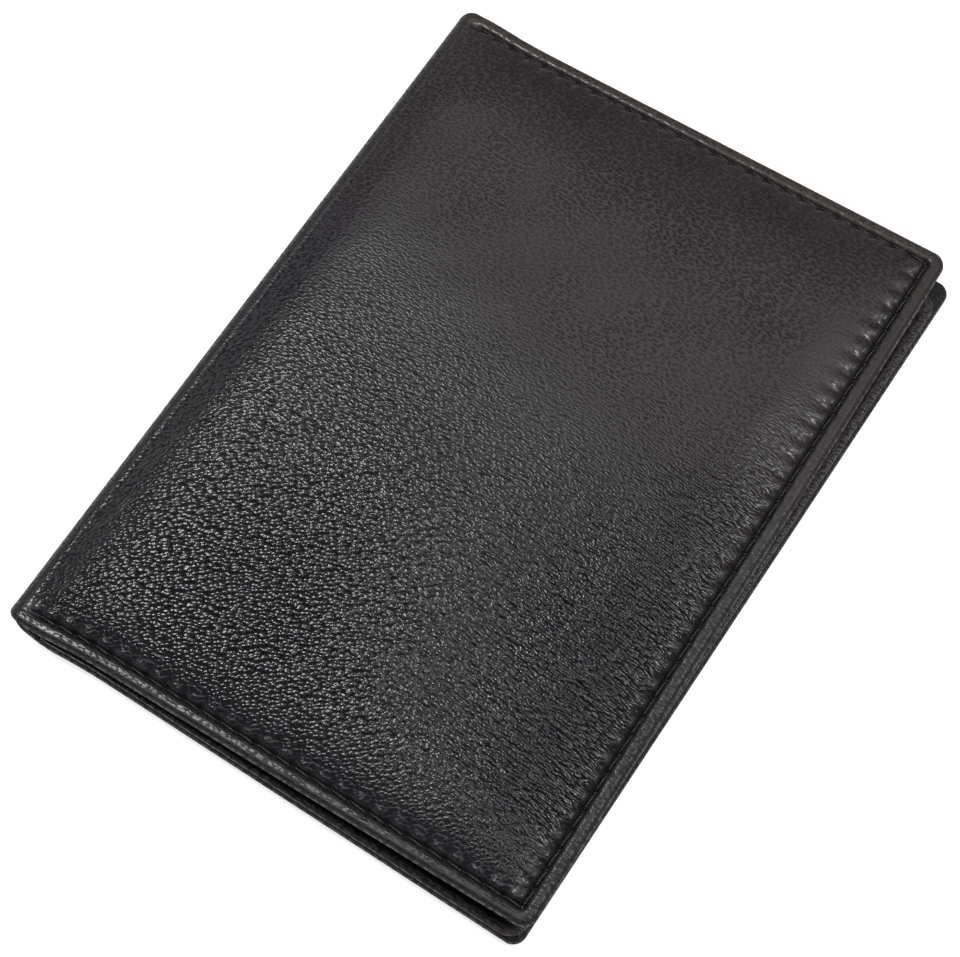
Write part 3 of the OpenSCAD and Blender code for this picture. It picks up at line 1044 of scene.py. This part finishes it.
    def dress(self, material: Material) -> Piece:
        """Builds the skin, stores where its grain changes and hides the CAD covers that it
        replaces.

        Args:
            material: The outer leather.

        Returns:
            The finished piece.
        """
        piece, x, y, z = self.build()
        add_flat_map(piece, x, y)
        for name, values in self.fields(x, y, z).items():
            add_field(piece, name, values)
        piece.data.materials.append(material)
        self.leaf.bend(piece, -self.bend_reach, self.bend_reach)
        if self.leaf.side is Side.REAR:
            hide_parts("rear_cover", "spine_cover")
        else:
            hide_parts("front_cover", "spine_cover")
        return piece


@dataclass(frozen=True)
class FoldLining:
    """Inner leather at the fold, from one leaf's panel to the middle of the spine."""

    SPINE_STEPS = 24
    FLAT_STEPS = 14
    LONG_STEPS = 119

    leaf: Leaf
    reach: float = 2.9
    margin: float = 0.9
    thickness: float = 0.3
    bed: float = 0.52
    roll: float = 0.3
    gather: float = 0.03
    bend_start: float = -0.75
    bend_end: float = 0.7

    def build(self, material: Material) -> Piece:
        """Makes the lining, as a closed sheet laid round the spine.

        Args:
            material: The inner leather.

        Returns:
            The finished piece.
        """
        leaf = self.leaf
        spine = np.linspace(-leaf.fold.half_arc, 0, self.SPINE_STEPS + 1)[:-1]
        across = np.concatenate([spine, np.linspace(0, self.reach, self.FLAT_STEPS + 1)])
        along = np.linspace(self.margin, leaf.height - self.margin, self.LONG_STEPS + 1)
        wide, high = np.meshgrid(across, along, indexing="ij")
        rise = leaf.cover + self.bed + leaf.board_step(wide)
        edge = np.minimum(high - self.margin, leaf.height - self.margin - high)
        edge = np.minimum(edge, self.reach - wide)
        roll = np.sqrt(np.clip(1 - np.clip(1 - edge / self.roll, 0, 1) ** 2, 0, 1))
        folds = self.gather * np.sin(high * 1.9 + 0.4 * np.sin(high / 3.1))
        top = rise + self.thickness * (0.25 + 0.75 * roll) + folds * bell(wide + 1.5, 2.2)
        rows, columns = wide.shape
        x, y = np.tile(wide.ravel(), 2), np.tile(high.ravel(), 2)
        z = np.concatenate([top.ravel(), rise.ravel()])
        low = rows * columns
        faces: Faces = []
        for face in grid_faces(rows, columns):
            faces += [face, [low + face[k] for k in (0, 3, 2, 1)]]
        rim = list(range(columns)) + [i * columns + columns - 1 for i in range(1, rows)]
        rim += [(rows - 1) * columns + j for j in range(columns - 2, -1, -1)]
        rim += [i * columns for i in range(rows - 2, 0, -1)]
        faces += [(a, b, low + b, low + a) for a, b in zip(rim, rim[1:] + rim[:1])]
        piece = smooth_mesh(f"{leaf.side.value}_fold_lining", leaf.place(x, y, z), faces, 50.0)
        add_flat_map(piece, x, y)
        piece.data.materials.append(material)
        leaf.bend(piece, self.bend_start, self.bend_end)
        if leaf.side is Side.REAR:
            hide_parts("rear_fold_lining", "spine_lining")
        else:
            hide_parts("front_fold_lining", "spine_lining")
        return piece


# Inside of the leaves


@dataclass(frozen=True)
class Shield:
    """Outline of the badge recess: two bowed sides that meet in a point, under a low arch."""

    centre: tuple[float, float] = (LEAF_MIDDLE, 55.0)
    width: float = 51.5
    height: float = 72.0
    arch: float = 3.0
    point_share: float = 0.56
    samples: int = 150

    def line(self, grow: float) -> Array:
        """The outline moved outwards.

        Args:
            grow: Distance that it is moved.

        Returns:
            Points of the closed line.
        """
        half, point = self.width / 2, self.height * self.point_share
        bend = (point**2 + half**2) / (2 * half)
        crown = (half**2 + self.arch**2) / (2 * self.arch)
        waist = point - self.height / 2
        side, top = bend + grow, crown + grow
        sweep = math.acos((bend - half) / side)
        spread = math.asin((half + grow) / top)
        share = np.linspace(0, 1, self.samples + 1)[:-1]
        down, back = -sweep * share, -sweep * (1 - share)
        over = math.pi / 2 + spread - 2 * spread * share
        parts = [
            (half - bend + side * np.cos(down), waist + side * np.sin(down)),
            (bend - half - side * np.cos(back), waist + side * np.sin(back)),
            (top * np.cos(over), self.height / 2 - crown + top * np.sin(over)),
        ]
        return np.concatenate([np.stack(part, -1) for part in parts]) + np.array(self.centre)


@dataclass(frozen=True)
class SeamLine:
    """A seam beside an edge: its distance from the edge and where it is sewn."""

    gap: float
    sewn: Depth = lambda x, y: np.ones_like(x)
    groove: float = 0.24
    groove_width: float = 0.32
    hole: float = 0.20
    swell: float = 0.03
    notch: float = 0.08
    flat: float = 0.2
    reach: float = 0.7

    def relief(self, offset: float, points: Array, seam: Array) -> Array:
        """Height of the groove and its needle holes beside an edge.

        Args:
            offset: Distance of the ring from the edge.
            points: The ring's points.
            seam: The seam's points, sample for sample.

        Returns:
            Height above the plain face.
        """
        hole = bell(to_hole(*run_along(seam)), HOLE_LENGTH)
        across = offset - self.gap
        groove = -(self.groove + self.hole * hole) * math.exp(-((across / self.groove_width) ** 2))
        pull = self.swell - self.notch * hole
        pull = pull * math.exp(-max(abs(across) - self.flat, 0) / self.reach)
        return (groove + pull) * self.sewn(points[:, 0], points[:, 1])


@dataclass
class Panel:
    """A flat leather piece with rolled edges, holes and seams, closed on every side.

    It lies in a leaf between low, the depth of its hidden face, and high, the depth
    of the face that shows.
    """

    OFFSETS = (3.0, 2.7, 2.45, 2.3, 2.2, 2.1, 2.0, 1.9, 1.8, 1.7, 1.6, 1.5, 1.4, 1.3, 1.15, 1.0,
               0.8, 0.6, 0.45)
    ROLL, ROLL_SHARE, ROLL_STEPS = 0.35, 0.45, 5
    CHAMFER = 0.1
    WALL_START, WALL_STEPS = 0.8, 5

    name: str
    leaf: Leaf
    low: float
    high: float
    points: list[Array] = field(default_factory=list)
    faces: Faces = field(default_factory=list)
    caps: list[list[list[int]]] = field(default_factory=lambda: [[], []])
    count: int = 0

    def ring(self, points: Array, depth: Array | float) -> list[int]:
        """Adds a closed ring of points.

        Args:
            points: Their places.
            depth: Their depth, or one for each.

        Returns:
            Their numbers.
        """
        depths = np.broadcast_to(np.asarray(depth, float), (len(points),))
        self.points.append(np.column_stack([points, depths]))
        numbers = list(range(self.count, self.count + len(points)))
        self.count += len(points)
        return numbers

    def band(self, rings: Sequence[list[int]]) -> None:
        """Adds the faces between rings that follow one another."""
        for first, second in zip(rings, rings[1:]):
            self.faces += ring_faces(first, second)

    def edge(self, line: EdgeLine, seam: SeamLine | None, offsets: Sequence[float],
             drop: float | None = None, lip: float = 0.0) -> None:
        """Adds an edge: face rings, a rolled corner and its wall.

        Args:
            line: Gives the edge moved into the piece by a distance.
            seam: Seam beside the edge.
            offsets: Distances of the rings on the face, from the middle outwards.
            drop: Depth that the wall goes down to, where it is turned down into a hole.
            lip: Thickness of that turned-down wall.
        """
        sign = math.copysign(1.0, self.high - self.low)
        roll = min(self.ROLL, abs(self.high - self.low) * self.ROLL_SHARE)
        rings = []
        sewn = line(seam.gap) if seam else None
        for offset in offsets:
            points = line(offset)
            height = seam.relief(offset, points, sewn) if seam else 0.0
            rings.append(self.ring(points, self.high + sign * height))
        for step in range(1, self.ROLL_STEPS + 1):
            angle = math.pi / 2 * step / self.ROLL_STEPS
            points = line(roll * (1 - math.sin(angle)))
            rings.append(self.ring(points, self.high - sign * roll * (1 - math.cos(angle))))
        if drop is None:
            rings.append(self.ring(line(0.0), self.low + sign * self.CHAMFER))
            rings.append(self.ring(line(self.CHAMFER), self.low))
        else:
            wall = np.linspace(self.high - sign * self.WALL_START, drop, self.WALL_STEPS)
            rings += [self.ring(line(0.0), depth) for depth in wall]
            rings += [self.ring(line(lip), depth) for depth in (drop, self.low)]
        self.band(rings)
        self.caps[0].append(rings[0])
        self.caps[1].append(rings[-1])

    @staticmethod
    def fill(shaped: bmesh.types.BMesh, verts: Sequence[bmesh.types.BMVert],
             loops: Sequence[list[int]]) -> None:
        """Closes the face between several loops with triangles.

        Args:
            shaped: Mesh under construction.
            verts: Its points.
            loops: Point numbers of each loop.
        """
        edges = []
        for loop in loops:
            for a, b in zip(loop, loop[1:] + [loop[0]]):
                pair = (verts[a], verts[b])
                edges.append(shaped.edges.get(pair) or shaped.edges.new(pair))
        bmesh.ops.triangle_fill(
            shaped, use_beauty=True, use_dissolve=False, edges=edges, normal=(0, 0, 1)
        )

    def finish(self, material: Material, node: str) -> Piece:
        """Makes the closed panel and joins it to its leaf.

        Args:
            material: Its finish.
            node: The CAD node that it stands for.

        Returns:
            The finished piece.
        """
        flat = np.concatenate(self.points)
        shaped = bmesh.new()
        verts = [shaped.verts.new(point) for point in flat.tolist()]
        for face in self.faces:
            shaped.faces.new([verts[k] for k in face])
        for loops in self.caps:
            self.fill(shaped, verts, loops)
        shaped.verts.index_update()
        faces = [[vert.index for vert in face.verts] for face in shaped.faces]
        shaped.free()
        piece = smooth_mesh(self.name, self.leaf.place(*flat.T), faces, 40.0)
        add_flat_map(piece, flat[:, 0], flat[:, 1])
        piece.data.materials.append(material)
        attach(piece, self.leaf.side.value)
        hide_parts(node)
        return piece


def frame_outline(mouth: float, notch: float = 7.0) -> EdgeLine:
    """Outline of an inner panel, with the thumb notch in its mouth.

    Args:
        mouth: Height of the mouth along the fold.
        notch: Radius of the notch; zero leaves it out.

    Returns:
        A function that gives the outline moved inwards.
    """
    low_x, low_y, high_x, corner = 3.0, 0.4, 79.1, 2.6

    def line(offset: float) -> Array:
        """The outline moved inwards.

        Args:
            offset: Distance that it is moved.

        Returns:
            Points of the closed line.
        """
        turn = max(corner - offset, LEAST_TURN)
        left, base, top, end = low_x + offset, low_y + offset, mouth - offset, high_x - offset
        slip = math.degrees(math.asin(offset / (notch + offset))) if notch else 0.0
        reach = (notch + offset) * math.cos(math.radians(slip)) if notch else 1.0
        start, stop = LEAF_MIDDLE + reach, LEAF_MIDDLE - reach
        if notch:
            opening = arc((LEAF_MIDDLE, mouth), notch + offset, -slip, -180 + slip, 44)
        else:
            opening = straight((start, top), (stop, top), 44)
        return np.concatenate([
            straight((left, base), (end - turn, base), 210),
            arc((end - turn, base + turn), turn, -90, 0, 14),
            straight((end, base + turn), (end, top - turn), 290),
            arc((end - turn, top - turn), turn, 0, 90, 14),
            straight((end - turn, top), (start, top), 90),
            opening,
            straight((stop, top), (left, top), 90),
            straight((left, top), (left, base), 290),
        ])

    return line


@dataclass(frozen=True)
class Pad:
    """Foam under the outer leather, crowned like the face that it fills."""

    INSETS = (3.5, 4.2, 5.2, 6.6, 8.4, 10.5, 12.5, 15.0, 20.0, 28.0, 36.0)
    COUNTS = (70, 90, 6)

    leaf: Leaf
    node: str
    hole: Shield | None = None
    start: float = 0.6
    corner: float = 3.2
    foot: float = 3.4
    hole_margin: float = 0.75
    hole_top: float = -0.93
    back_gap: float = 0.02
    gap: float = 0.06
    slack: float = 0.3
    least: float = -0.02

    def top(self, points: Array) -> Array:
        """Depth of the foam's outer face at some points."""
        relief = self.leaf.relief(points[:, 0], points[:, 1])
        return self.leaf.cover + self.gap - np.maximum(relief - self.slack, self.least)

    def build(self, material: Material) -> Piece:
        """Makes the closed pad.

        Args:
            material: The foam.

        Returns:
            The finished piece.
        """
        leaf = self.leaf
        back = leaf.cover - self.back_gap
        panel = Panel(self.node.replace("pad", "foam"), leaf, back, leaf.cover)
        low, high = (self.start, 0.0), (leaf.width, leaf.height)
        rings = [panel.ring(box_line(low, high, self.corner, -self.foot, self.COUNTS), back)]
        for inset in self.INSETS:
            points = box_line(low, high, self.corner, -inset, self.COUNTS)
            rings.append(panel.ring(points, np.minimum(self.top(points), leaf.cover - self.gap)))
        groups = [rings]
        if self.hole:
            hole = leaf.unwarp(self.hole.line(self.hole_margin))
            groups.append([panel.ring(hole, back), panel.ring(hole, self.hole_top)])
        for group in groups:
            panel.band(group)
        panel.caps = [[rings[-1]], [group[0] for group in groups]]
        panel.caps += [[group[-1]] for group in groups[1:]]
        piece = panel.finish(material, self.node)
        return piece


@dataclass
class Thread:
    """Stitches of one seam, each a short bent length of thread between two needle holes."""

    SIDES = 8
    STEPS = 10

    name: str
    leaf: Leaf
    radius: float = 0.21
    margin: float = 0.06
    crest: float = 0.16
    sink: float = 0.34
    bed: float = 0.04
    flatness: float = 0.85
    points: list[Array] = field(default_factory=list)
    flat: list[Array] = field(default_factory=list)
    faces: Faces = field(default_factory=list)
    count: int = 0

    def stitch(self, start: Array, end: Array, face: Depth, outwards: float, slant: float) -> None:
        """Adds one stitch.

        Args:
            start: Needle hole where it begins.
            end: Needle hole where it ends.
            face: Depth of the face that it lies on.
            outwards: -1 where the face looks down the depth axis, 1 where it looks up.
            slant: Sideways reach of each end.
        """
        share = np.linspace(self.margin, 1 - self.margin, self.STEPS + 1)
        length = np.linalg.norm(end - start)
        along = (end - start) / length
        side = np.array([-along[1], along[0]])
        middle = start + (end - start) * share[:, None] + side * slant * (1 - 2 * share)[:, None]
        arch = np.sin(math.pi * share) ** 0.45
        depth = face(middle[:, 0], middle[:, 1])
        depth = depth + outwards * (self.crest * arch - self.sink * (1 - arch) - self.bed)
        girth = self.radius * (0.55 + 0.45 * np.sin(math.pi * share) ** 0.5)
        angle = np.linspace(0, 2 * math.pi, self.SIDES + 1)[:-1]
        across = middle[:, None, :] + (girth[:, None] * np.cos(angle))[:, :, None] * side
        height = depth[:, None] + girth[:, None] * np.sin(angle) * self.flatness
        rows = np.concatenate([across.reshape(-1, 2), height.reshape(-1, 1)], 1)
        self.points.append(rows)
        turn = np.tile(angle / (2 * math.pi), self.STEPS + 1)
        self.flat.append(np.column_stack([np.repeat(share * length, self.SIDES), turn]))
        count = self.SIDES
        for step in range(self.STEPS):
            low = self.count + step * count
            for j in range(count):
                k = (j + 1) % count
                self.faces.append((low + j, low + k, low + count + k, low + count + j))
        self.faces.append([self.count + j for j in range(count)][::-1])
        self.faces.append([self.count + self.STEPS * count + j for j in range(count)])
        self.count += len(rows)

    def row(self, corners: Sequence[Point], face: Depth, outwards: float,
            slant: float = 0.13) -> None:
        """Sews along straight sides, with a needle hole in each corner.

        Args:
            corners: Ends of the sides, in order.
            face: Depth of the face that is sewn.
            outwards: Way that the face looks, as stitch() takes it.
            slant: Sideways reach of each stitch's ends.
        """
        for first, second in zip(corners, corners[1:]):
            first, second = np.asarray(first, float), np.asarray(second, float)
            count = max(round(float(np.linalg.norm(second - first)) / PITCH), 1)
            holes = [first + (second - first) * k / count for k in range(count + 1)]
            for start, end in zip(holes, holes[1:]):
                self.stitch(start, end, face, outwards, slant)

    def round(self, line: Array, face: Depth, outwards: float, slant: float = 0.11) -> None:
        """Sews along a closed line at an even pitch.

        Args:
            line: Points of the line.
            face: Depth of the face that is sewn.
            outwards: Way that the face looks, as stitch() takes it.
            slant: Sideways reach of each stitch's ends.
        """
        run, total = run_along(line)
        count = round(total / PITCH)
        closed = np.concatenate([line, line[:1]])
        lengths = np.concatenate([run, [total]])
        at = np.arange(count + 1) * total / count
        holes = np.column_stack([np.interp(at, lengths, closed[:, k]) for k in (0, 1)])
        for start, end in zip(holes, holes[1:]):
            self.stitch(start, end, face, outwards, slant)

    def build(self, material: Material, node: str) -> Piece:
        """Makes the seam in place of its CAD node.

        Args:
            material: The thread.
            node: The CAD node that it stands for.

        Returns:
            The finished piece.
        """
        flat, spread = np.concatenate(self.points), np.concatenate(self.flat)
        piece = smooth_mesh(self.name, self.leaf.place(*flat.T), self.faces, 70.0)
        add_flat_map(piece, spread[:, 0], spread[:, 1])
        piece.data.materials.append(material)
        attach(piece, self.leaf.side.value)
        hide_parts(node)
        return piece


@dataclass(frozen=True)
class Inside:
    """What the leaves carry inside: panels, window frame, recess and their seams."""

    WINDOW_COUNTS = (160, 230, 12)
    WINDOW_OFFSETS = (3.4, 3.0, 2.75, 2.55, 2.4, 2.3, 2.2, 2.1, 2.0, 1.85, 1.65, 1.4, 1.1, 0.8, 0.5)
    RECESS_OFFSETS = (3.6, 3.2, 2.95, 2.75, 2.6, 2.5, 2.4, 2.3, 2.2, 2.05, 1.85, 1.6, 1.3, 1.0, 0.7,
                      0.45)
    SLOT_COUNTS = (6, 24, 6)
    BACKER_OFFSETS = (1.0, 0.7, 0.5)
    SLOT_OFFSETS = (0.9, 0.65, 0.45)

    rear: Leaf
    front: Leaf
    shield: Shield = field(default_factory=Shield)
    mouth: float = 107.0
    window_low: tuple[float, float] = (11.0, 12.0)
    window_high: tuple[float, float] = (68.5, 96.0)
    window_radius: float = 2.5
    window_seam: float = 2.2
    recess_seam: float = 2.4
    recess_floor: float = -0.36
    recess_lip: float = 0.5
    setback: float = 0.4
    seam_gap: float = 1.6
    seam_start: float = 5.2
    backer: tuple[float, float] = (-0.88, -0.4)
    backer_margin: float = 0.55
    slot_reach: float = 16.0
    slot_half_width: float = 0.9
    slot_ends: tuple[float, float] = (51.0, 59.0)
    slot_radius: float = 0.6
    outer_level: float = 0.28
    edge_level: float = 2.36
    under_level: float = 1.8
    opening_level: float = 2.38

    def window(self, grow: float) -> Array:
        """The window's outline moved outwards by grow."""
        low, high, counts = self.window_low, self.window_high, self.WINDOW_COUNTS
        return box_line(low, high, self.window_radius, grow, counts)

    def recess(self, grow: float) -> Array:
        """The badge recess's outline moved outwards by grow."""
        return self.front.unwarp(self.shield.line(grow))

    def from_fold(self, x: Array) -> Array:
        """One where a panel's edge is sewn, and zero beside the fold."""
        return fade_in(x - self.seam_start, 0.5)

    def window_frame(self, material: Material) -> Piece:
        """Inner leather of the rear leaf, with the card window and the thumb notch.

        Args:
            material: The inner leather.

        Returns:
            The finished piece.
        """
        leaf = self.rear
        panel = Panel("window_frame_leather", leaf, leaf.panel_back, leaf.panel_face)
        end = self.mouth - 2.6
        seam = SeamLine(self.seam_gap, lambda x, y: self.from_fold(x) * fade_in(end - y, 0.4))
        panel.edge(frame_outline(self.mouth), seam, Panel.OFFSETS)
        opening = SeamLine(self.window_seam)
        panel.edge(lambda grow: self.window(grow)[::-1], opening, self.WINDOW_OFFSETS)
        return panel.finish(material, "window_frame")

    def badge_panel(self, material: Material) -> Piece:
        """Inner leather of the front leaf, turned down into the badge recess.

        Args:
            material: The inner leather.

        Returns:
            The finished piece.
        """
        leaf = self.front
        panel = Panel("badge_panel_leather", leaf, leaf.panel_back, leaf.panel_face)
        seam = SeamLine(self.seam_gap, lambda x, y: self.from_fold(x))
        panel.edge(frame_outline(leaf.height - self.setback, notch=0.0), seam, Panel.OFFSETS)
        opening = SeamLine(self.recess_seam)
        panel.edge(lambda grow: self.recess(grow)[::-1], opening, self.RECESS_OFFSETS,
                   drop=self.recess_floor, lip=self.recess_lip)
        return panel.finish(material, "badge_panel")

    def badge_backer(self, material: Material) -> Piece:
        """Leather floor of the recess, with two slots for a badge's pin or clip.

        Args:
            material: The inner leather.

        Returns:
            The finished piece.
        """
        panel = Panel("badge_backer_leather", self.front, *self.backer)
        panel.edge(lambda inset: self.recess(self.backer_margin - inset), None, self.BACKER_OFFSETS)
        for side in (-1, 1):
            middle = LEAF_MIDDLE + side * self.slot_reach
            low = (middle - self.slot_half_width, self.slot_ends[0])
            high = (middle + self.slot_half_width, self.slot_ends[1])

            def slot(grow: float, low: Point = low, high: Point = high) -> Array:
                """The slot's outline moved outwards by grow."""
                line = box_line(low, high, self.slot_radius, grow, self.SLOT_COUNTS)
                return self.front.unwarp(line)[::-1]

            panel.edge(slot, None, self.SLOT_OFFSETS)
        return panel.finish(material, "badge_backer")

    def edge_seam(self, leaf: Leaf, material: Material, node: str) -> Piece:
        """Sews the three sides of a leaf, on its outer and its inner face.

        Args:
            leaf: The leaf that is sewn.
            material: The thread.
            node: The CAD node that the seam stands for.

        Returns:
            The finished piece.
        """
        low, side, high = leaf.seam, leaf.width - leaf.seam, leaf.height - leaf.seam
        start = side - round(side / PITCH - 0.6) * PITCH
        thread = Thread(f"{leaf.side.value}_edge_thread", leaf)
        outer = [(start, low), (side, low), (side, high), (start, high)]
        thread.row(outer, level(self.outer_level), -1.0)
        inner = [(start + PITCH, low), (side, low)]
        if leaf.side is Side.FRONT:
            thread.row(inner + [(side, high), (start + PITCH, high)], level(self.edge_level), 1.0)
        else:
            thread.row(inner + [(side, self.mouth - PITCH)], level(self.edge_level), 1.0)
            thread.row([(side - PITCH, high), (start + PITCH, high)], level(self.under_level), 1.0)
        return thread.build(material, node)

    def seams(self, material: Material) -> list[Piece]:
        """Sews every seam, outside and inside.

        Args:
            material: The thread.

        Returns:
            One piece for each seam.
        """
        window, recess = Thread("window_thread", self.rear), Thread("recess_thread", self.front)
        window.round(self.window(self.window_seam), level(self.opening_level), 1.0)
        recess.round(self.recess(self.recess_seam), level(self.opening_level), 1.0)
        return [
            self.edge_seam(self.rear, material, "rear_edge_stitching"),
            self.edge_seam(self.front, material, "front_edge_stitching"),
            window.build(material, "window_stitching"),
            recess.build(material, "recess_stitching"),
        ]


# Studio


@dataclass(frozen=True)
class Lamp:
    """A soft lamp; places and sizes are metres and power is watts."""

    name: str
    place: tuple[float, float, float]
    size: tuple[float, float]
    power: float
    aim: tuple[float, float, float] = (0.0, 0.0, 0.0)

    def build(self) -> None:
        """Hangs the lamp."""
        data = bpy.data.lights.new(self.name, "AREA")
        data.shape, data.energy = "RECTANGLE", self.power
        data.size, data.size_y = self.size
        lamp = bpy.data.objects.new(self.name, data)
        lamp.location = self.place
        way = Vector(self.aim) - Vector(self.place)
        lamp.rotation_euler = way.to_track_quat("-Z", "Y").to_euler()
        bpy.context.scene.collection.objects.link(lamp)


@dataclass(frozen=True)
class Studio:
    """Camera, lamps, floor and background; places are metres and turns degrees."""

    LAMPS = (
        Lamp("key", (-0.34, 0.01, 0.58), (0.20, 0.20), 2.7),
        Lamp("over", (0.105, 0.10, 0.62), (0.09, 0.24), 0.75, aim=(0.105, 0, 0)),
        Lamp("side", (0.27, 0.06, 0.40), (0.14, 0.16), 1.0),
    )

    place: tuple[float, float, float] = (0.08525, -0.10001, 0.3187)
    turn: tuple[float, float, float] = (21.774, 3.070, 33.730)
    lens: float = 93.75
    sensor: float = 36.0
    around: float = 0.065
    floor_gap: float = 0.0003
    floor_reach: float = 0.38

    def camera(self) -> None:
        """Makes the camera at the photograph's place."""
        data = bpy.data.cameras.new("camera")
        data.lens, data.sensor_width, data.sensor_fit = self.lens, self.sensor, "HORIZONTAL"
        data.clip_start, data.clip_end = 0.01, 10.0
        view = bpy.data.objects.new("camera", data)
        view.location = self.place
        view.rotation_euler = [math.radians(angle) for angle in self.turn]
        bpy.context.scene.collection.objects.link(view)
        bpy.context.scene.camera = view

    def background(self) -> None:
        """Makes the world: white to the camera, and a weak even light on the case."""
        world = bpy.data.worlds.new("studio")
        bpy.context.scene.world = world
        world.use_nodes = True
        nodes = Nodes(world.node_tree)
        inputs = world.node_tree.nodes["Background"].inputs
        inputs["Color"].default_value = (1, 1, 1, 1)
        path = nodes.node("LightPath").outputs
        strength = nodes.ramp(path["Is Camera Ray"], 0.0, 1.0, self.around, 1.0)
        nodes.join(strength, inputs["Strength"])

    def floor(self) -> None:
        """Makes the pale floor, which keeps the object's shadow."""
        depth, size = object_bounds()[0][2] - self.floor_gap, self.floor_reach
        corners = [(x * size, y * size, depth) for x, y in ((-1, -1), (1, -1), (1, 1), (-1, 1))]
        ground = smooth_mesh("floor", np.array(corners), [(0, 1, 2, 3)])
        material, nodes, shader = new_material("floor")
        tone = nodes.noise(nodes.node("TexCoord").outputs["Object"], 3.0)
        base = nodes.blend(tone, Tone.FLOOR.solid(), Tone.FLOOR_PALE.solid())
        nodes.join(base, shader["Base Color"])
        shader["Roughness"].default_value = 0.9
        path = nodes.node("LightPath").outputs
        seen = nodes.math("MAXIMUM", path["Is Camera Ray"], path["Is Glossy Ray"])
        seen = nodes.math("MAXIMUM", seen, path["Is Transmission Ray"])
        glow = nodes.blend(seen, Tone.BLACK.solid(), Tone.FLOOR_GLOW.solid())
        nodes.join(glow, shader["Emission Color"])
        shader["Emission Strength"].default_value = 1.0
        ground.data.materials.append(material)
        ground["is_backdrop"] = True

    def build(self) -> None:
        """Makes the whole studio."""
        self.camera()
        self.background()
        for lamp in self.LAMPS:
            lamp.build()
        self.floor()
        bpy.context.scene.view_settings.view_transform = "Standard"


def report(piece: Piece) -> None:
    """Logs one finished piece."""
    log.info("%s: %d faces", piece.name, len(piece.data.polygons))


def main() -> None:
    """Builds the case and its studio in order."""
    logging.basicConfig(level=logging.INFO, format="%(name)s: %(message)s")
    grain = build_grain()
    outer = LeatherFinish("outer_leather", Tone.LEATHER, 0.29, 0.105, 0.3).build(grain)
    inner = LeatherFinish(
        "inner_leather", Tone.INNER, 0.40, 0.075, 0.2, shaded_crease=0.62, reads_fields=False
    ).build(grain)
    thread = ThreadFinish().build()
    foam = CoreFinish("foam", Tone.FOAM, 900.0, 0.25, 0.9)
    cloth = CoreFinish("pocket_lining", Tone.LINING, 2600.0, 0.05, 0.8)
    board = CoreFinish("fibre_board", Tone.BOARD, 420.0, 0.05, 0.85)
    film = CoreFinish("clear_film", Tone.FILM, 45.0, 0.10, 0.11, alpha=0.38, contrast=0.1)
    padding = foam.build()
    rear = Leaf(Side.REAR, rise=0.26, belly=0.0, puff=0.34, radius=1.9, low_reach=0.42)
    front = Leaf(Side.FRONT, rise=1.9, belly=0.25, puff=0.5, lean=2.6, corner_rise=1.4, radius=2.1)
    for leaf in (rear, front):
        report(LeatherSkin(leaf).dress(outer))
        report(FoldLining(leaf).build(inner))
    report(Pad(rear, "rear_pad").build(padding))
    report(Pad(front, "front_pad", Shield()).build(padding))
    inside = Inside(rear, front)
    for make in (inside.window_frame, inside.badge_panel, inside.badge_backer):
        report(make(inner))
    for piece in inside.seams(thread):
        report(piece)
    board.cover(board.build(), "rear_board", "front_board")
    foam.cover(padding, "badge_spacer")
    cloth.cover(cloth.build(), "pocket_lining")
    film.cover(film.build(), "window_film")
    Studio().build()


if __name__ == "__main__":
    main()
